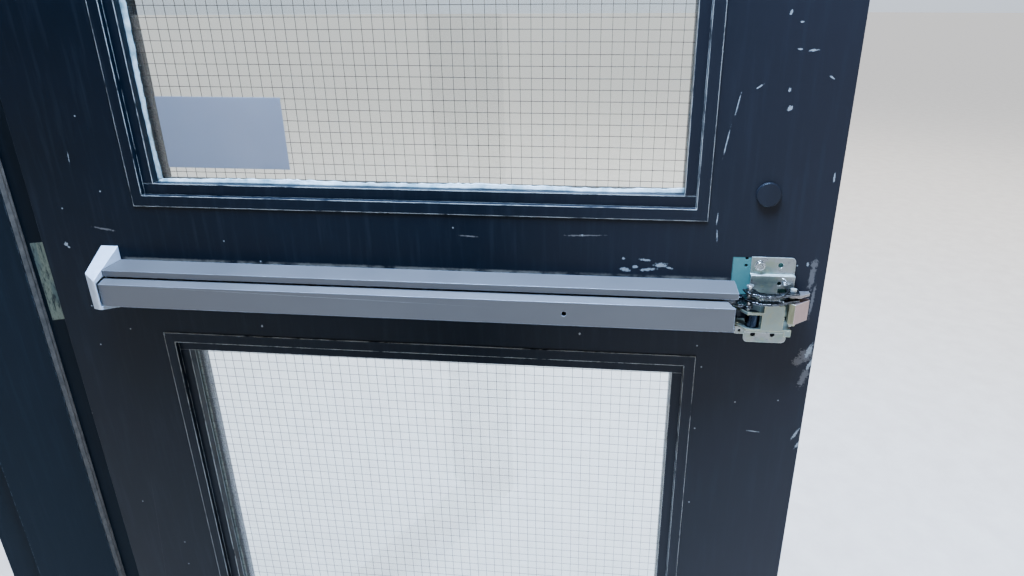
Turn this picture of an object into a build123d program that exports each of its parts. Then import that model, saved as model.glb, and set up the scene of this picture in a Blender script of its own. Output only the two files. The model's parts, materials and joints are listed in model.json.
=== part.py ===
from build123d import *
import math
import os

# A hollow-metal outside door with two wired-glass lites and a rim touch-bar exit device, in its
# pressed-steel frame. Millimetres. The wall plane is XZ, the outside is at +Y, the sill is at Z = 0.
# The leaf is described in its closed position by u (from its hinge edge towards the latch edge),
# w (from its outside face towards the room) and the height z, then swung open about its hinge pins.

os.makedirs("parts", exist_ok=True)

# Leaf
leaf_width = 981.0
leaf_thick = 44.5
leaf_low = 16.0
leaf_high = 2131.0
skin = 1.2
seam = 0.2
leaf_gap = 3.0
rest_angle = 63.0

# Frame
frame_depth = 190.5
rabbet = 52.0
room_rabbet = 39.7
stop_high = 16.0
frame_face = 50.0
frame_return = 12.0
frame_sheet = 1.6
mitre_gap = 0.1
seal_thick = 4.8
seal_fin = 1.8
seal_wide = 11.0
threshold_high = 12.7
threshold_slope = 28.0

# Exit device: its bar runs level across the lock rail. Its pieces are placed by t, out from the inside
# face of the leaf, and h, up from the middle of the bar.
bar_z = 1025.0
rail_start = 101.7
rail_to_edge = 103.0
rail_high = 49.0
rail_deep = 37.0
rail_wall = 2.0
rail_slope = 1.5
lip_top = 7.5
lip_low = 4.0
pad_inset = 2.6
pad_short = 4.0
pad_gap_top = 3.1
pad_gap_low = 0.6
pad_fall = 3.3
pad_proud = 12.0
pad_body = 21.5
pad_wall = 1.9
pad_mitre = (11.0, 17.0)
pad_travel = 10.0
dog_from_end = 194.0
dog_h = -5.1
crank_from_ends = (156.3, 110.0)
crank_h = (1.0, 4.0)
crank_arm = 17.0
crank_nose = (20.0, 0.8)
crank_nose_r = 3.0
crank_swing = 29.6
crank_pin_r = 2.0
cheek_h = ((-6.4, -4.4), (7.3, 9.0))
rod_t = (5.0, 8.0)
rod_h = (-1.0, 7.0)

# Latch: v runs along the leaf from the latch pivot towards the latch edge.
latch_backset = 35.0
pivot_t = 5.8
pivot_r = 1.8
plate_sheet = 2.0
plate_stand = 5.5
case_sheet = 1.6
case_front = 30.5
link_pin = (-53.5, 22.5)
link_pin_r = 2.5
drive_pin = (-3.8, 19.5)
bolt_h = (-15.4, 9.5)
link_low_h = (10.3, 12.5)
fork_h = (15.4, 18.2)
link_top_h = (19.2, 21.2)
floor_h = (-25.1, -23.3)

# Hinges
hinge_high = 114.3
hinge_plate = 3.4
hinge_reach = 42.0
pin_out = 12.7
pin_r = 3.5
running = 0.05
knuckle_r = 7.0
knuckle_count = 5
knuckle_gap = 0.3
hinge_low = 322.0
hinge_below_bar = 27.0
hinge_below_top = 258.0
backing = 4.5
backing_margin = 14.0

# Lites and the stiffener of the hinge stile
stiffener_hinge = 78.0
stile_hinge = 139.5
stile_latch = 140.0
bottom_rail = 290.0
top_rail = 142.0
lite_below_bar = 77.5
lite_above_bar = 96.5
lite_flange = 13.7
lite_stop = 13.8
flange_proud = 1.5
stop_depth = 12.8
glass_thick = 6.4
glass_middle = 23.5
tape_thick = 1.5
bead_sheet = 1.4
mesh_pitch = 12.7
wire = 0.5
wire_slot = 1.3

half_depth = frame_depth / 2
half_open = leaf_width / 2 + leaf_gap
open_high = leaf_high + leaf_gap
face_y = half_depth
edge_x = -half_open + leaf_gap
pin_x = -half_open + leaf_gap / 2
pin_y = face_y + pin_out
hinge_centres = [hinge_low, bar_z - hinge_below_bar, leaf_high - hinge_below_top]
lite_ranges = {"lower": (bottom_rail, bar_z - lite_below_bar)}
lite_ranges["upper"] = (bar_z + lite_above_bar, leaf_high - top_rail)
glass_room = glass_middle + glass_thick / 2
glass_out = glass_middle - glass_thick / 2


def box(x, y, z):
    return Pos(sum(x) / 2, sum(y) / 2, sum(z) / 2) * Box(x[1] - x[0], y[1] - y[0], z[1] - z[0])


def leaf_x(u):
    return edge_x + u


def leaf_y(w):
    return face_y - w


def leaf_box(u, w, z):
    return box((leaf_x(u[0]), leaf_x(u[1])), (leaf_y(w[1]), leaf_y(w[0])), z)


def upright_prism(points, z):
    outline = make_face(Polyline(*points, close=True))
    return extrude(Pos(0, 0, z[0]) * outline, z[1] - z[0])


def leaf_plate(points, z):
    return upright_prism([(leaf_x(u), leaf_y(w)) for u, w in points], z)


def level_prism(points, x):
    outline = make_face(Polyline(*points, close=True))
    return extrude(Plane.YZ.offset(x[0]) * outline, x[1] - x[0])


def leaf_bar(points, u):
    return level_prism([(leaf_y(w), z) for w, z in points], (leaf_x(u[0]), leaf_x(u[1])))


def post(u, w, radius, z):
    return Pos(leaf_x(u), leaf_y(w), sum(z) / 2) * Cylinder(radius, z[1] - z[0])


def round_into_leaf(u, z, radius, w):
    middle = leaf_y(sum(w) / 2)
    return Pos(leaf_x(u), middle, z) * Rot(X=90) * Cylinder(radius, w[1] - w[0])


def cone_into_leaf(u, z, outer, inner, w):
    middle = leaf_y(sum(w) / 2)
    return Pos(leaf_x(u), middle, z) * Rot(X=90) * Cone(inner, outer, w[1] - w[0])


def swing(shape):
    about = Pos(pin_x, pin_y, 0)
    return about * Rot(Z=rest_angle) * Pos(-pin_x, -pin_y, 0) * shape


def as_solids(shape):
    pieces = shape.solids()
    return pieces[0] if len(pieces) == 1 else Compound(children=list(pieces))


def save(name, shape):
    export_step(as_solids(shape), "parts/" + name + ".step")


def save_leaf(name, shape):
    save(name, swing(as_solids(shape)))


def together(pieces):
    return Compound(children=[solid for piece in pieces for solid in piece.solids()])


# Frame: one pressed section runs round the two jambs and the head.
def frame_section(across, along):
    deep = half_depth
    inner = deep - rabbet
    t = frame_sheet
    outer_line = [(-frame_face, deep), (0, deep), (0, inner), (stop_high, inner)]
    inner_line = [(-frame_face + t, deep - t), (-t, deep - t), (-t, inner - t), (stop_high - t, inner - t)]
    room = room_rabbet - deep
    outer = outer_line + [(stop_high, room), (0, room), (0, -deep), (-frame_face, -deep)]
    room_line = [(stop_high - t, room + t), (-t, room + t), (-t, t - deep), (-frame_face + t, t - deep)]
    hollow = inner_line + room_line
    throat = deep - frame_return
    mouth = [(-frame_face - t, throat), (-frame_face + 2 * t, throat)]
    mouth = mouth + [(a, -b) for a, b in reversed(mouth)]
    return [[across(a, b, along) for a, b in line] for line in (outer, hollow, mouth)]


def pressed(maker, lines, span):
    outer, hollow, mouth = lines
    return maker(outer, span) - maker(hollow, span) - maker(mouth, span)


def mitre_wedge(side, gap):
    corner_x = side * half_open
    far = 3 * frame_face
    a = (corner_x + side * far, open_high + far + gap)
    b = (corner_x - side * far, open_high - far + gap)
    c = (corner_x - side * far, open_high + 2 * far)
    outline = make_face(Polyline(a, b, c, close=True))
    return extrude(Plane.XZ.offset(-frame_depth) * outline, 2 * frame_depth)


def jamb(side):
    lines = frame_section(lambda a, b, s: (s * (half_open - a), b), side)
    body = pressed(upright_prism, lines, (0, open_high + frame_face))
    return body - mitre_wedge(side, 0)


def head():
    lines = frame_section(lambda a, b, s: (b, open_high - a), 1)
    reach = half_open + frame_face
    body = pressed(level_prism, lines, (-reach, reach))
    cover = box((-2 * reach, 2 * reach), (-frame_depth, frame_depth), (open_high - 200, open_high + 200))
    for side in (-1, 1):
        body = body & (mitre_wedge(side, mitre_gap) + upper_half(side, cover))
    return body


def upper_half(side, cover):
    far = 3 * frame_face
    inside = side * half_open - side * far
    low = min(inside, -side * 2 * half_open)
    high = max(inside, -side * 2 * half_open)
    limits = cover.bounding_box()
    return box((low, high), (limits.min.Y, limits.max.Y), (limits.min.Z, limits.max.Z))


hinge_jamb = jamb(-1)
strike_jamb = jamb(1)
head_jamb = head()


def hinge_span(centre):
    return (centre - hinge_high / 2, centre + hinge_high / 2)


def hinge_plate_frame(centre):
    x = (-half_open - hinge_plate, -half_open)
    relief = pin_y - knuckle_r - 2 * knuckle_gap
    return box(x, (face_y - hinge_reach, relief), hinge_span(centre))


def hinge_plate_leaf(centre):
    relief = pin_y - knuckle_r - 2 * knuckle_gap
    return box((edge_x, edge_x + hinge_plate), (face_y - hinge_reach, relief), hinge_span(centre))


def knuckles(plate, x, centre, wanted):
    low = hinge_span(centre)[0]
    pitch = hinge_high / knuckle_count
    body = plate
    for i in wanted:
        z = (low + i * pitch + knuckle_gap / 2, low + (i + 1) * pitch - knuckle_gap / 2)
        barrel = Pos(pin_x, pin_y, sum(z) / 2) * Cylinder(knuckle_r, z[1] - z[0])
        neck = box(x, (pin_y - knuckle_r - 3 * knuckle_gap, pin_y), z)
        body = body + barrel + neck
    bore = Pos(pin_x, pin_y, centre) * Cylinder(pin_r + running, hinge_high + 2)
    return body - bore


def hinge_pin(centre):
    z = hinge_span(centre)
    shank = Pos(pin_x, pin_y, centre) * Cylinder(pin_r, hinge_high)
    top = Pos(pin_x, pin_y, z[1] + 2) * Cylinder(knuckle_r - 1, 4)
    foot = Pos(pin_x, pin_y, z[0] - 1.5) * Cylinder(knuckle_r - 2, 3)
    return shank + top + foot


def hinge_holes(centre):
    inner = face_y - hinge_reach + 9
    outer = face_y - 8
    return [(inner, centre - 44), (outer, centre - 16), (outer, centre + 16), (inner, centre + 44)]


def edge_screw(x, inward, y, z):
    head_deep = 2.6
    turn = Rot(Y=90 * inward)
    cone = Pos(x + inward * head_deep / 2, y, z) * turn * Cone(4.4, 2.2, head_deep)
    shank_long = hinge_plate + backing + 4 - head_deep
    shank = Pos(x + inward * (head_deep + shank_long / 2), y, z) * turn * Cylinder(2.2, shank_long)
    return cone + shank


def backing_box(x, y, centre):
    low, high = hinge_span(centre)
    return box(x, y, (low - backing_margin, high + backing_margin))


names = ("bottom", "middle", "top")
frame_screws = []
leaf_screws = []
frame_backings = []
leaf_backings = []
leaf_mortises = []
for name, centre in zip(names, hinge_centres):
    plate_x = (-half_open - hinge_plate, -half_open)
    frame_set = [edge_screw(-half_open, -1, y, z) for y, z in hinge_holes(centre)]
    leaf_set = [edge_screw(edge_x, 1, y, z) for y, z in hinge_holes(centre)]
    flap = knuckles(hinge_plate_frame(centre), plate_x, centre, (0, 2, 4))
    door_x = (edge_x, edge_x + hinge_plate)
    door_flap = knuckles(hinge_plate_leaf(centre), door_x, centre, (1, 3))
    back_y = (face_y - hinge_reach - 7, face_y - frame_sheet)
    back = backing_box((-half_open - frame_sheet - backing, -half_open - frame_sheet), back_y, centre)
    back = back - hinge_plate_frame(centre)
    door_back_y = (leaf_y(leaf_thick - skin), leaf_y(skin))
    door_back = backing_box((edge_x + skin, edge_x + skin + backing), door_back_y, centre)
    door_back = door_back - hinge_plate_leaf(centre)
    for screw in frame_set:
        flap = flap - screw
        back = back - screw
    for screw in leaf_set:
        door_flap = door_flap - screw
        door_back = door_back - screw
    hinge_jamb = hinge_jamb - hinge_plate_frame(centre)
    leaf_mortises.append(hinge_plate_leaf(centre))
    frame_screws += frame_set
    leaf_screws += leaf_set
    frame_backings.append(back)
    leaf_backings.append(door_back)
    save(name + "_hinge_frame_leaf", flap)
    save_leaf(name + "_hinge_door_leaf", door_flap)

save("hinge_pins", together([hinge_pin(centre) for centre in hinge_centres]))

save("frame_hinge_backings", together(frame_backings))
save_leaf("leaf_hinge_screws", together(leaf_screws))
save("head_jamb", head_jamb)


# Seal strips lie on the stop all round, each with a low fin towards the leaf.
def seal_profile(start, inward):
    y = half_depth - rabbet
    a = start + inward * 2
    b = a + inward * seal_wide
    top = y + seal_thick
    tip = top + seal_fin
    outline = [(a, y), (b, y), (b - inward * 2, top), (a + inward * 4.2, top), (a + inward * 3, tip)]
    return outline + [(a + inward * 1.6, tip), (a + inward, top)]


seal_top = open_high - stop_high
for side, name in ((-1, "hinge_jamb_seal"), (1, "strike_jamb_seal")):
    save(name, upright_prism(seal_profile(side * half_open, -side), (threshold_high, seal_top)))
head_line = [(y, z) for z, y in seal_profile(open_high, -1)]
seal_reach = half_open - stop_high
save("head_jamb_seal", level_prism(head_line, (-seal_reach, seal_reach)))

# Anchors inside the jambs: straps for the wall and a bolted foot at the floor.
anchor_end = 400.0
anchor_levels = (anchor_end, open_high / 2, open_high - anchor_end)
anchor_span = (-half_depth + frame_sheet, half_depth - frame_sheet)
straps = []
for side in (-1, 1):
    for level in anchor_levels:
        x = sorted((side * (half_open + 26), side * (half_open + 29)))
        straps.append(box(x, anchor_span, (level - 20, level + 20)))
save("wall_anchors", together(straps))
foot_bolt_r = 5.5
foot_bolt_x = half_open + 20
feet = []
for side in (-1, 1):
    x = sorted((side * (half_open + frame_sheet), side * (half_open + 40)))
    foot = box(x, (-30, 30), (0, 4))
    rise = sorted((side * (half_open - stop_high + frame_sheet), side * (half_open - stop_high + frame_sheet + 3)))
    sole = sorted((rise[0] if side > 0 else x[0], x[1] if side > 0 else rise[1]))
    foot = box(sole, (-30, 30), (0, 4)) + box(rise, (-30, 30), (0, 45))
    bolt_hole = Pos(side * foot_bolt_x, 0, 2) * Cylinder(foot_bolt_r, 8)
    feet.append(foot - bolt_hole)
save("floor_anchors", together(feet))

# Saddle threshold, notched round the stops.
saddle = [(-52, 0), (half_depth, 0), (half_depth, 4), (half_depth - threshold_slope, threshold_high)]
saddle = saddle + [(-52 + threshold_slope, threshold_high), (-52, 4)]
threshold = level_prism(saddle, (-half_open + 0.3, half_open - 0.3))
for side in (-1, 1):
    x = sorted((side * (half_open - stop_high - 0.3), side * half_open))
    threshold = threshold - box(x, (-half_depth, half_depth - rabbet + 0.3), (-1, 2 * threshold_high))
groove_y = half_depth - threshold_slope - 9
while groove_y > -20:
    y = (groove_y - 1.5, groove_y + 1.5)
    threshold = threshold - box((-half_open, half_open), y, (threshold_high - 1.2, threshold_high + 1))
    groove_y -= 9
save("threshold", threshold)

# Leaf: two folded sheets that meet at a seam in the middle of each edge.
leaf_z = (leaf_low, leaf_high)
whole_u = (0, leaf_width)
seam_w = leaf_thick / 2


def lite_hole(span, inset):
    u = (stile_hinge + inset, leaf_width - stile_latch - inset)
    return u, (span[0] + inset, span[1] - inset)


def leaf_sheet(face, fold):
    body = leaf_box(whole_u, face, leaf_z)
    for u in ((0, skin), (leaf_width - skin, leaf_width)):
        body = body + leaf_box(u, fold, leaf_z)
    for span in lite_ranges.values():
        u, z = lite_hole(span, lite_flange - bead_sheet)
        body = body - leaf_box(u, (-1, leaf_thick + 1), z)
    for mortise in leaf_mortises:
        body = body - mortise
    return body


plug_u = leaf_width - 75.7
plug_z = bar_z + 129.5
push_sheet = leaf_sheet((leaf_thick - skin, leaf_thick), (seam_w + seam / 2, leaf_thick))
pull_sheet = leaf_sheet((0, skin), (0, seam_w - seam / 2))
plug_hole = round_into_leaf(plug_u, plug_z, 10.5, (seam_w, leaf_thick + 1))

# Channels close the top and the bottom, stiffeners stand in the stiles and rails.
inside_u = (skin, leaf_width - skin)
inside_w = (skin, leaf_thick - skin)
channel = 1.6


def level_channel(z_web, z_flange):
    body = leaf_box(inside_u, inside_w, z_web)
    for w in ((inside_w[0], inside_w[0] + channel), (inside_w[1] - channel, inside_w[1])):
        body = body + leaf_box(inside_u, w, z_flange)
    return body


top_channel = level_channel((leaf_high - channel, leaf_high), (leaf_high - 30, leaf_high))
low_web = (leaf_low + 14, leaf_low + 14 + channel)
bottom_channel = level_channel(low_web, (leaf_low + 14, leaf_low + 40))


def upright_channel(u, z):
    body = leaf_box((u, u + channel), inside_w, z)
    for w in ((inside_w[0], inside_w[0] + channel), (inside_w[1] - channel, inside_w[1])):
        body = body + leaf_box((u, u + 24), w, z)
    return body


lower_lite, upper_lite = lite_ranges["lower"], lite_ranges["upper"]
hinge_stile_z = (leaf_low + 42, leaf_high - 32)
latch_low_z = (leaf_low + 42, bar_z - 85)
latch_high_z = (bar_z + 85, leaf_high - 32)
middle_z = (lower_lite[1] + 4, upper_lite[0] - 4)
top_z = (upper_lite[1] + 4, leaf_high - 32)
low_z = (leaf_low + 42, lower_lite[0] - 4)
stiffeners = [upright_channel(stiffener_hinge, hinge_stile_z)]
stiffeners += [upright_channel(leaf_width - 91, latch_low_z), upright_channel(leaf_width - 111, latch_high_z)]
lite_wide = leaf_width - stile_hinge - stile_latch
for u in [stile_hinge + lite_wide * share for share in (1 / 6, 1 / 2, 5 / 6)]:
    for z in (middle_z, top_z, low_z):
        stiffeners.append(upright_channel(u, z))

latch_backing_z = (bar_z - 70, bar_z + 75)
latch_backing = leaf_box((leaf_width - 123, leaf_width - 11), (inside_w[1] - 3, inside_w[1]), latch_backing_z)

save_leaf("leaf_top_channel", top_channel)
save_leaf("leaf_bottom_channel", bottom_channel)


# Lites: a moulding on each face, glazing stops on the push side, tape on both sides of the pane.
def ring(span, outer, inner, w):
    u0, z0 = lite_hole(span, outer)
    u1, z1 = lite_hole(span, inner)
    return leaf_box(u0, w, z0) - leaf_box(u1, (w[0] - 1, w[1] + 1), z1)


bed_w = glass_out - tape_thick
inner_lip = lite_flange + lite_stop
stop_top = glass_room + tape_thick + stop_depth - tape_thick
web_in = lite_flange
web_out = lite_flange - bead_sheet
glass_inset = lite_flange + 3.0


def moulding_push(span):
    flange = ring(span, 0, web_in, (leaf_thick, leaf_thick + flange_proud))
    web = ring(span, web_out, web_in, (bed_w - bead_sheet, leaf_thick + flange_proud))
    return flange + web


def moulding_pull(span):
    flange = ring(span, 0, inner_lip, (-flange_proud, 0))
    web = ring(span, web_out, web_in, (-flange_proud, bed_w - bead_sheet - 0.2))
    bed = ring(span, web_in, inner_lip, (bed_w - bead_sheet, bed_w))
    riser = ring(span, inner_lip - bead_sheet, inner_lip, (-flange_proud, bed_w))
    return flange + web + bed + riser


def stops(span):
    u0, z0 = lite_hole(span, web_in + 0.1)
    u1, z1 = lite_hole(span, inner_lip)
    w = (glass_room + tape_thick, stop_top)
    core = (w[0] + bead_sheet, w[1] - bead_sheet)
    rails = []
    for z, hollow in (((z0[0], z1[0]), (z0[0] - 1, z1[0] - bead_sheet)),
                      ((z1[1], z0[1]), (z1[1] + bead_sheet, z0[1] + 1))):
        rails.append(leaf_box(u0, w, z) - leaf_box((u0[0] - 1, u0[1] + 1), core, hollow))
    for u, hollow in (((u0[0], u1[0]), (u0[0] - 1, u1[0] - bead_sheet)),
                      ((u1[1], u0[1]), (u1[1] + bead_sheet, u0[1] + 1))):
        z = (z1[0] + 0.2, z1[1] - 0.2)
        rails.append(leaf_box(u, w, z) - leaf_box(hollow, core, (z[0] - 1, z[1] + 1)))
    return together(rails)


def tape(span):
    front = ring(span, glass_inset, inner_lip - 0.5, (bed_w, glass_out))
    back = ring(span, glass_inset, inner_lip - 0.5, (glass_room, glass_room + tape_thick))
    return together([front, back])


def pane(span):
    u, z = lite_hole(span, glass_inset)
    slot_w = (glass_middle - wire_slot / 2, glass_middle + wire_slot / 2)
    slot = leaf_box((u[0] + 4, u[1] - 4), slot_w, (z[0] + 4, z[1] + 1))
    return leaf_box(u, (glass_out, glass_room), z) - slot


def mesh(span):
    u, z = lite_hole(span, glass_inset + 5)
    wires = []
    columns = int((u[1] - u[0]) / mesh_pitch)
    rows = int((z[1] - z[0]) / mesh_pitch)
    first_u = (u[0] + u[1] - columns * mesh_pitch) / 2
    first_z = (z[0] + z[1] - rows * mesh_pitch) / 2
    for i in range(columns + 1):
        at = first_u + i * mesh_pitch
        wires.append(leaf_box((at - wire / 2, at + wire / 2), (glass_middle, glass_middle + wire), z))
    for i in range(rows + 1):
        at = first_z + i * mesh_pitch
        wires.append(leaf_box(u, (glass_middle - wire, glass_middle), (at - wire / 2, at + wire / 2)))
    return together(wires)


for name, span in lite_ranges.items():
    save_leaf(name + "_lite_push_moulding", moulding_push(span))
    save_leaf(name + "_lite_pull_moulding", moulding_pull(span))
    save_leaf(name + "_glazing_stops", stops(span))
    save_leaf(name + "_glazing_tape", tape(span))
    save_leaf(name + "_glass", pane(span))
    save_leaf(name + "_wire_mesh", mesh(span))

sheet_u = (stile_hinge + 45.0, stile_hinge + 200.5)
sheet_z = (lite_ranges["upper"][0] + 45.5, lite_ranges["upper"][0] + 130.5)
save_leaf("window_sheet", leaf_box(sheet_u, (glass_room, glass_room + 0.4), sheet_z))

plug = round_into_leaf(plug_u, plug_z, 13.7, (leaf_thick, leaf_thick + 2.5))
plug = plug + cone_into_leaf(plug_u, plug_z, 13.7, 9.5, (leaf_thick + 2.5, leaf_thick + 4.0))
plug = plug + round_into_leaf(plug_u, plug_z, 10.4, (leaf_thick - 9, leaf_thick))
save_leaf("hole_plug", plug)

# Exit device rail: a channel with its mouth to the room, the pad rides in the mouth.
face_w = leaf_thick
latch_u = leaf_width - latch_backset
rail_u = (rail_start, leaf_width - rail_to_edge)
rail_h = (-rail_high / 2, rail_high / 2)


def device_box(u, t, h):
    return leaf_box(u, (face_w + t[0], face_w + t[1]), (bar_z + h[0], bar_z + h[1]))


def device_bar(points, u):
    return leaf_bar([(face_w + t, bar_z + h) for t, h in points], u)


def device_plate(points, h):
    return leaf_plate([(u, face_w + t) for u, t in points], (bar_z + h[0], bar_z + h[1]))


def device_post(u, t, radius, h):
    return post(u, face_w + t, radius, (bar_z + h[0], bar_z + h[1]))


def device_bore(u, h, radius, t):
    return round_into_leaf(u, bar_z + h, radius, (face_w + t[0], face_w + t[1]))


def device_cone(u, h, outer, inner, t):
    return cone_into_leaf(u, bar_z + h, outer, inner, (face_w + t[0], face_w + t[1]))


low, high = rail_h
front = rail_deep
back = rail_deep - rail_wall
nose = high - rail_slope
slope_back = rail_slope * rail_wall / rail_deep
rail_line = [(0, low), (0, high), (front, nose), (front, nose - lip_top), (back, nose - lip_top)]
rail_line += [(back, nose - rail_wall), (rail_wall, high - rail_wall - slope_back), (rail_wall, low + rail_wall)]
rail_line += [(back, low + rail_wall), (back, low + lip_low), (front, low + lip_low), (front, low)]
save_leaf("device_rail", device_bar(rail_line, rail_u))

# Hinge-end cap: a hollow wedge. In plan its outer side and its front are slanted.
cap_wall = 2.2
cap_in = rail_start + 2.0
cap_plan = [(cap_in - 23.1, -5.0), (cap_in - 17.7, 42.9), (cap_in - 4.0, 51.5), (cap_in, 53.1), (cap_in, -5.0)]
cap_side = [(0, -39.5), (0, 42.5), (50.8, 16.8), (54.3, 13.2), (54.3, -21.4), (51.4, -24.0)]
core_plan = [(cap_in - 20.9, -6.0), (cap_in - 15.6, 41.5), (cap_in - 2.2, 49.6), (cap_in - 2.2, -6.0)]
core_side = [(-1, -37.0), (-1, 40.2), (49.4, 14.6), (51.6, 12.2), (51.6, -20.4), (50.4, -21.8)]
cap_reach = (cap_in - 40, cap_in + 10)


def wedge(plan, side):
    return device_plate(plan, (-60, 60)) & device_bar(side, cap_reach)


cap = wedge(cap_plan, cap_side) - wedge(core_plan, core_side)
room = 0.3
mouth = [(-1, low - room), (-1, high + room), (front + room, nose + room), (front + room, nose - lip_top)]
mouth += [(front + pad_proud + 2.2, nose - lip_top - 5.0), (front + pad_proud + 2.2, low + lip_low - 0.5)]
mouth += [(front + room, low + lip_low - 1.5), (front + room, low - room)]
cap = cap - device_bar(mouth, (cap_in - cap_wall - 0.5, cap_in + 1))
save_leaf("device_end_cap", cap)

bracket = device_box((rail_start - 12.0, rail_start - 0.3), (0, 3), (-32.0, 32.0))
bracket = bracket + device_box((rail_start - 3.3, rail_start - 0.3), (0, 26), (-21.0, 18.0))
bracket = bracket + device_box((rail_start - 3.3, rail_start + 14.0), (2.1, 5.1), (-21.0, 18.0))
cap_screws = []
for h in (-27.0, 27.0):
    head_part = device_bore(rail_start - 8.7, h, 3.2, (3.0, 5.2))
    shank = device_bore(rail_start - 8.7, h, 1.6, (-5.0, 3.0))
    cap_screws.append(head_part + shank)
for screw in cap_screws:
    bracket = bracket - screw
    push_sheet = push_sheet - screw
    stiffeners[0] = stiffeners[0] - screw
save_leaf("leaf_stiffeners", together(stiffeners))
save_leaf("end_cap_bracket", bracket)

# Touch pad: a hollow bar with a web behind, opened over the cranks. Hooked ears hold it behind the rail's lips.
pad_u = (rail_u[0] + pad_inset, rail_u[1] - pad_short)
pad_front = rail_deep + pad_proud
pad_web = pad_front - pad_body
shoulder_t = rail_deep - 1.0
pad_top = nose - lip_top - pad_gap_top
pad_low = low + lip_low + pad_gap_low
pad_line = [(pad_web, pad_low), (pad_web, pad_top), (shoulder_t, pad_top), (pad_front, pad_top - pad_fall)]
pad_line += [(pad_front, pad_low)]
core_top = pad_top - pad_wall
pad_core = [(pad_web + 2, pad_low + pad_wall), (pad_web + 2, core_top), (shoulder_t - 0.4, core_top)]
pad_core += [(pad_front - pad_wall, core_top - pad_fall + 0.5), (pad_front - pad_wall, pad_low + pad_wall)]
pad = device_bar(pad_line, pad_u) - device_bar(pad_core, (pad_u[0] - 1, pad_u[1] + 1))
mitre = [(pad_u[1] - pad_mitre[0] * n, pad_front - pad_mitre[1] * n) for n in (-1, 2)]
pad = pad - device_plate(mitre + [(pad_u[1] + pad_mitre[0], mitre[1][1])], (-60, 60))
crank_u = (rail_u[0] + crank_from_ends[0], rail_u[1] - crank_from_ends[1])
nose_reach = crank_nose[0] - 2.5
for u in crank_u:
    pad = pad - device_box((u - 13, u + nose_reach), (pad_web - 1, pad_web + 3), (pad_low + 3, core_top - 0.7))
dog_u = pad_u[1] - dog_from_end
key_hole_r = 3.0
pad = pad - device_bore(dog_u, dog_h, key_hole_r, (pad_web + 3, pad_front + 1))
pad = pad - device_bore(dog_u, dog_h, key_hole_r + 1, (pad_web - 1, pad_web + 3))
ear_t = (back - 2.2, back - 0.2)
ear_high = pad_gap_top + 2.0
for u in (pad_u[0] + 30, pad_u[1] - 50):
    pad = pad + device_box((u, u + 20), (pad_web, pad_web + 2), (pad_top, pad_top + ear_high))
    pad = pad + device_box((u, u + 20), (pad_web, ear_t[1]), (pad_top + ear_high - 1.5, pad_top + ear_high))
    pad = pad + device_box((u, u + 20), ear_t, (low + lip_low - 1.4, pad_low))
save_leaf("touch_pad", pad)

# Dogging post: a stem on the rail. Its flag turns over the foot of the pad's catch and holds the pad in.
stem_r = 3.2
flag_half = 2.5
flag_reach = 11.0
flag_t = (pad_web - 16.0, pad_web - 14.0)
catch_t = (flag_t[0] - 2.5 + pad_travel, flag_t[0] - 0.5 + pad_travel)
stem = device_bore(dog_u, dog_h, stem_r, (rail_wall + 0.8, pad_web - pad_travel - 1.5))
flag = device_box((dog_u, dog_u + flag_reach), flag_t, (dog_h - flag_half, dog_h + flag_half))
key = RegularPolygon(1.9, 6)
key_at = Pos(leaf_x(dog_u), leaf_y(face_w + pad_web - pad_travel - 1.4), bar_z + dog_h)
key_socket = key_at * Rot(X=-90) * extrude(key, -4)
save_leaf("dogging_post", stem + flag - key_socket)
collar = device_bore(dog_u, dog_h, 5.5, (rail_wall, rail_wall + 2.4))
collar = collar - device_bore(dog_u, dog_h, stem_r + running, (0, rail_wall + 5))
leg_h = dog_h - flag_reach - 0.9
catch = device_box((dog_u - 4, dog_u + 4), (catch_t[0], pad_web), (leg_h - 2, leg_h))
catch = catch + device_box((dog_u - 4, dog_u + 4), catch_t, (leg_h - 2, leg_h + 6.5))
save_leaf("pad_catch", catch)

# Bell cranks, each on a pin between two cheeks in the rail.
crank_t = pad_web - crank_nose_r - crank_nose[1] - 0.2
brackets = [collar]
for u in crank_u:
    body = device_box((u - 8, u + 8), (rail_wall, rail_wall + 1.5), (cheek_h[0][0], cheek_h[1][1]))
    for h in cheek_h:
        body = body + device_box((u - 5, u + 5), (rail_wall, crank_t + 3.5), h)
    body = body + device_post(u, crank_t, crank_pin_r, (cheek_h[0][0] - 0.8, cheek_h[1][1] + 0.6))
    brackets.append(body)
save_leaf("crank_brackets", together(brackets))


def crank(u):
    half = math.radians(crank_swing / 2)
    end = (u + crank_arm * math.sin(half), crank_t - crank_arm * math.cos(half))
    tip = (u + crank_nose[0], crank_t + crank_nose[1])
    body = device_post(u, crank_t, 4.6, crank_h) + device_post(*tip, crank_nose_r, crank_h)
    body = body + device_post(*end, 2.2, crank_h)
    for far in (tip, end):
        du, dt = far[0] - u, far[1] - crank_t
        long = math.hypot(du, dt)
        nu, nt = -dt / long * 1.8, du / long * 1.8
        corners = [(u + nu, crank_t + nt), (far[0] + nu, far[1] + nt)]
        corners += [(far[0] - nu, far[1] - nt), (u - nu, crank_t - nt)]
        body = body + device_plate(corners, crank_h)
    body = body + device_post(u, crank_t, 3.6, (cheek_h[0][1] + 0.3, cheek_h[1][0] - 0.3))
    return body - device_post(u, crank_t, crank_pin_r + running, (-30, 30))


save_leaf("near_crank", crank(crank_u[0]))
save_leaf("far_crank", crank(crank_u[1]))

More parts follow.
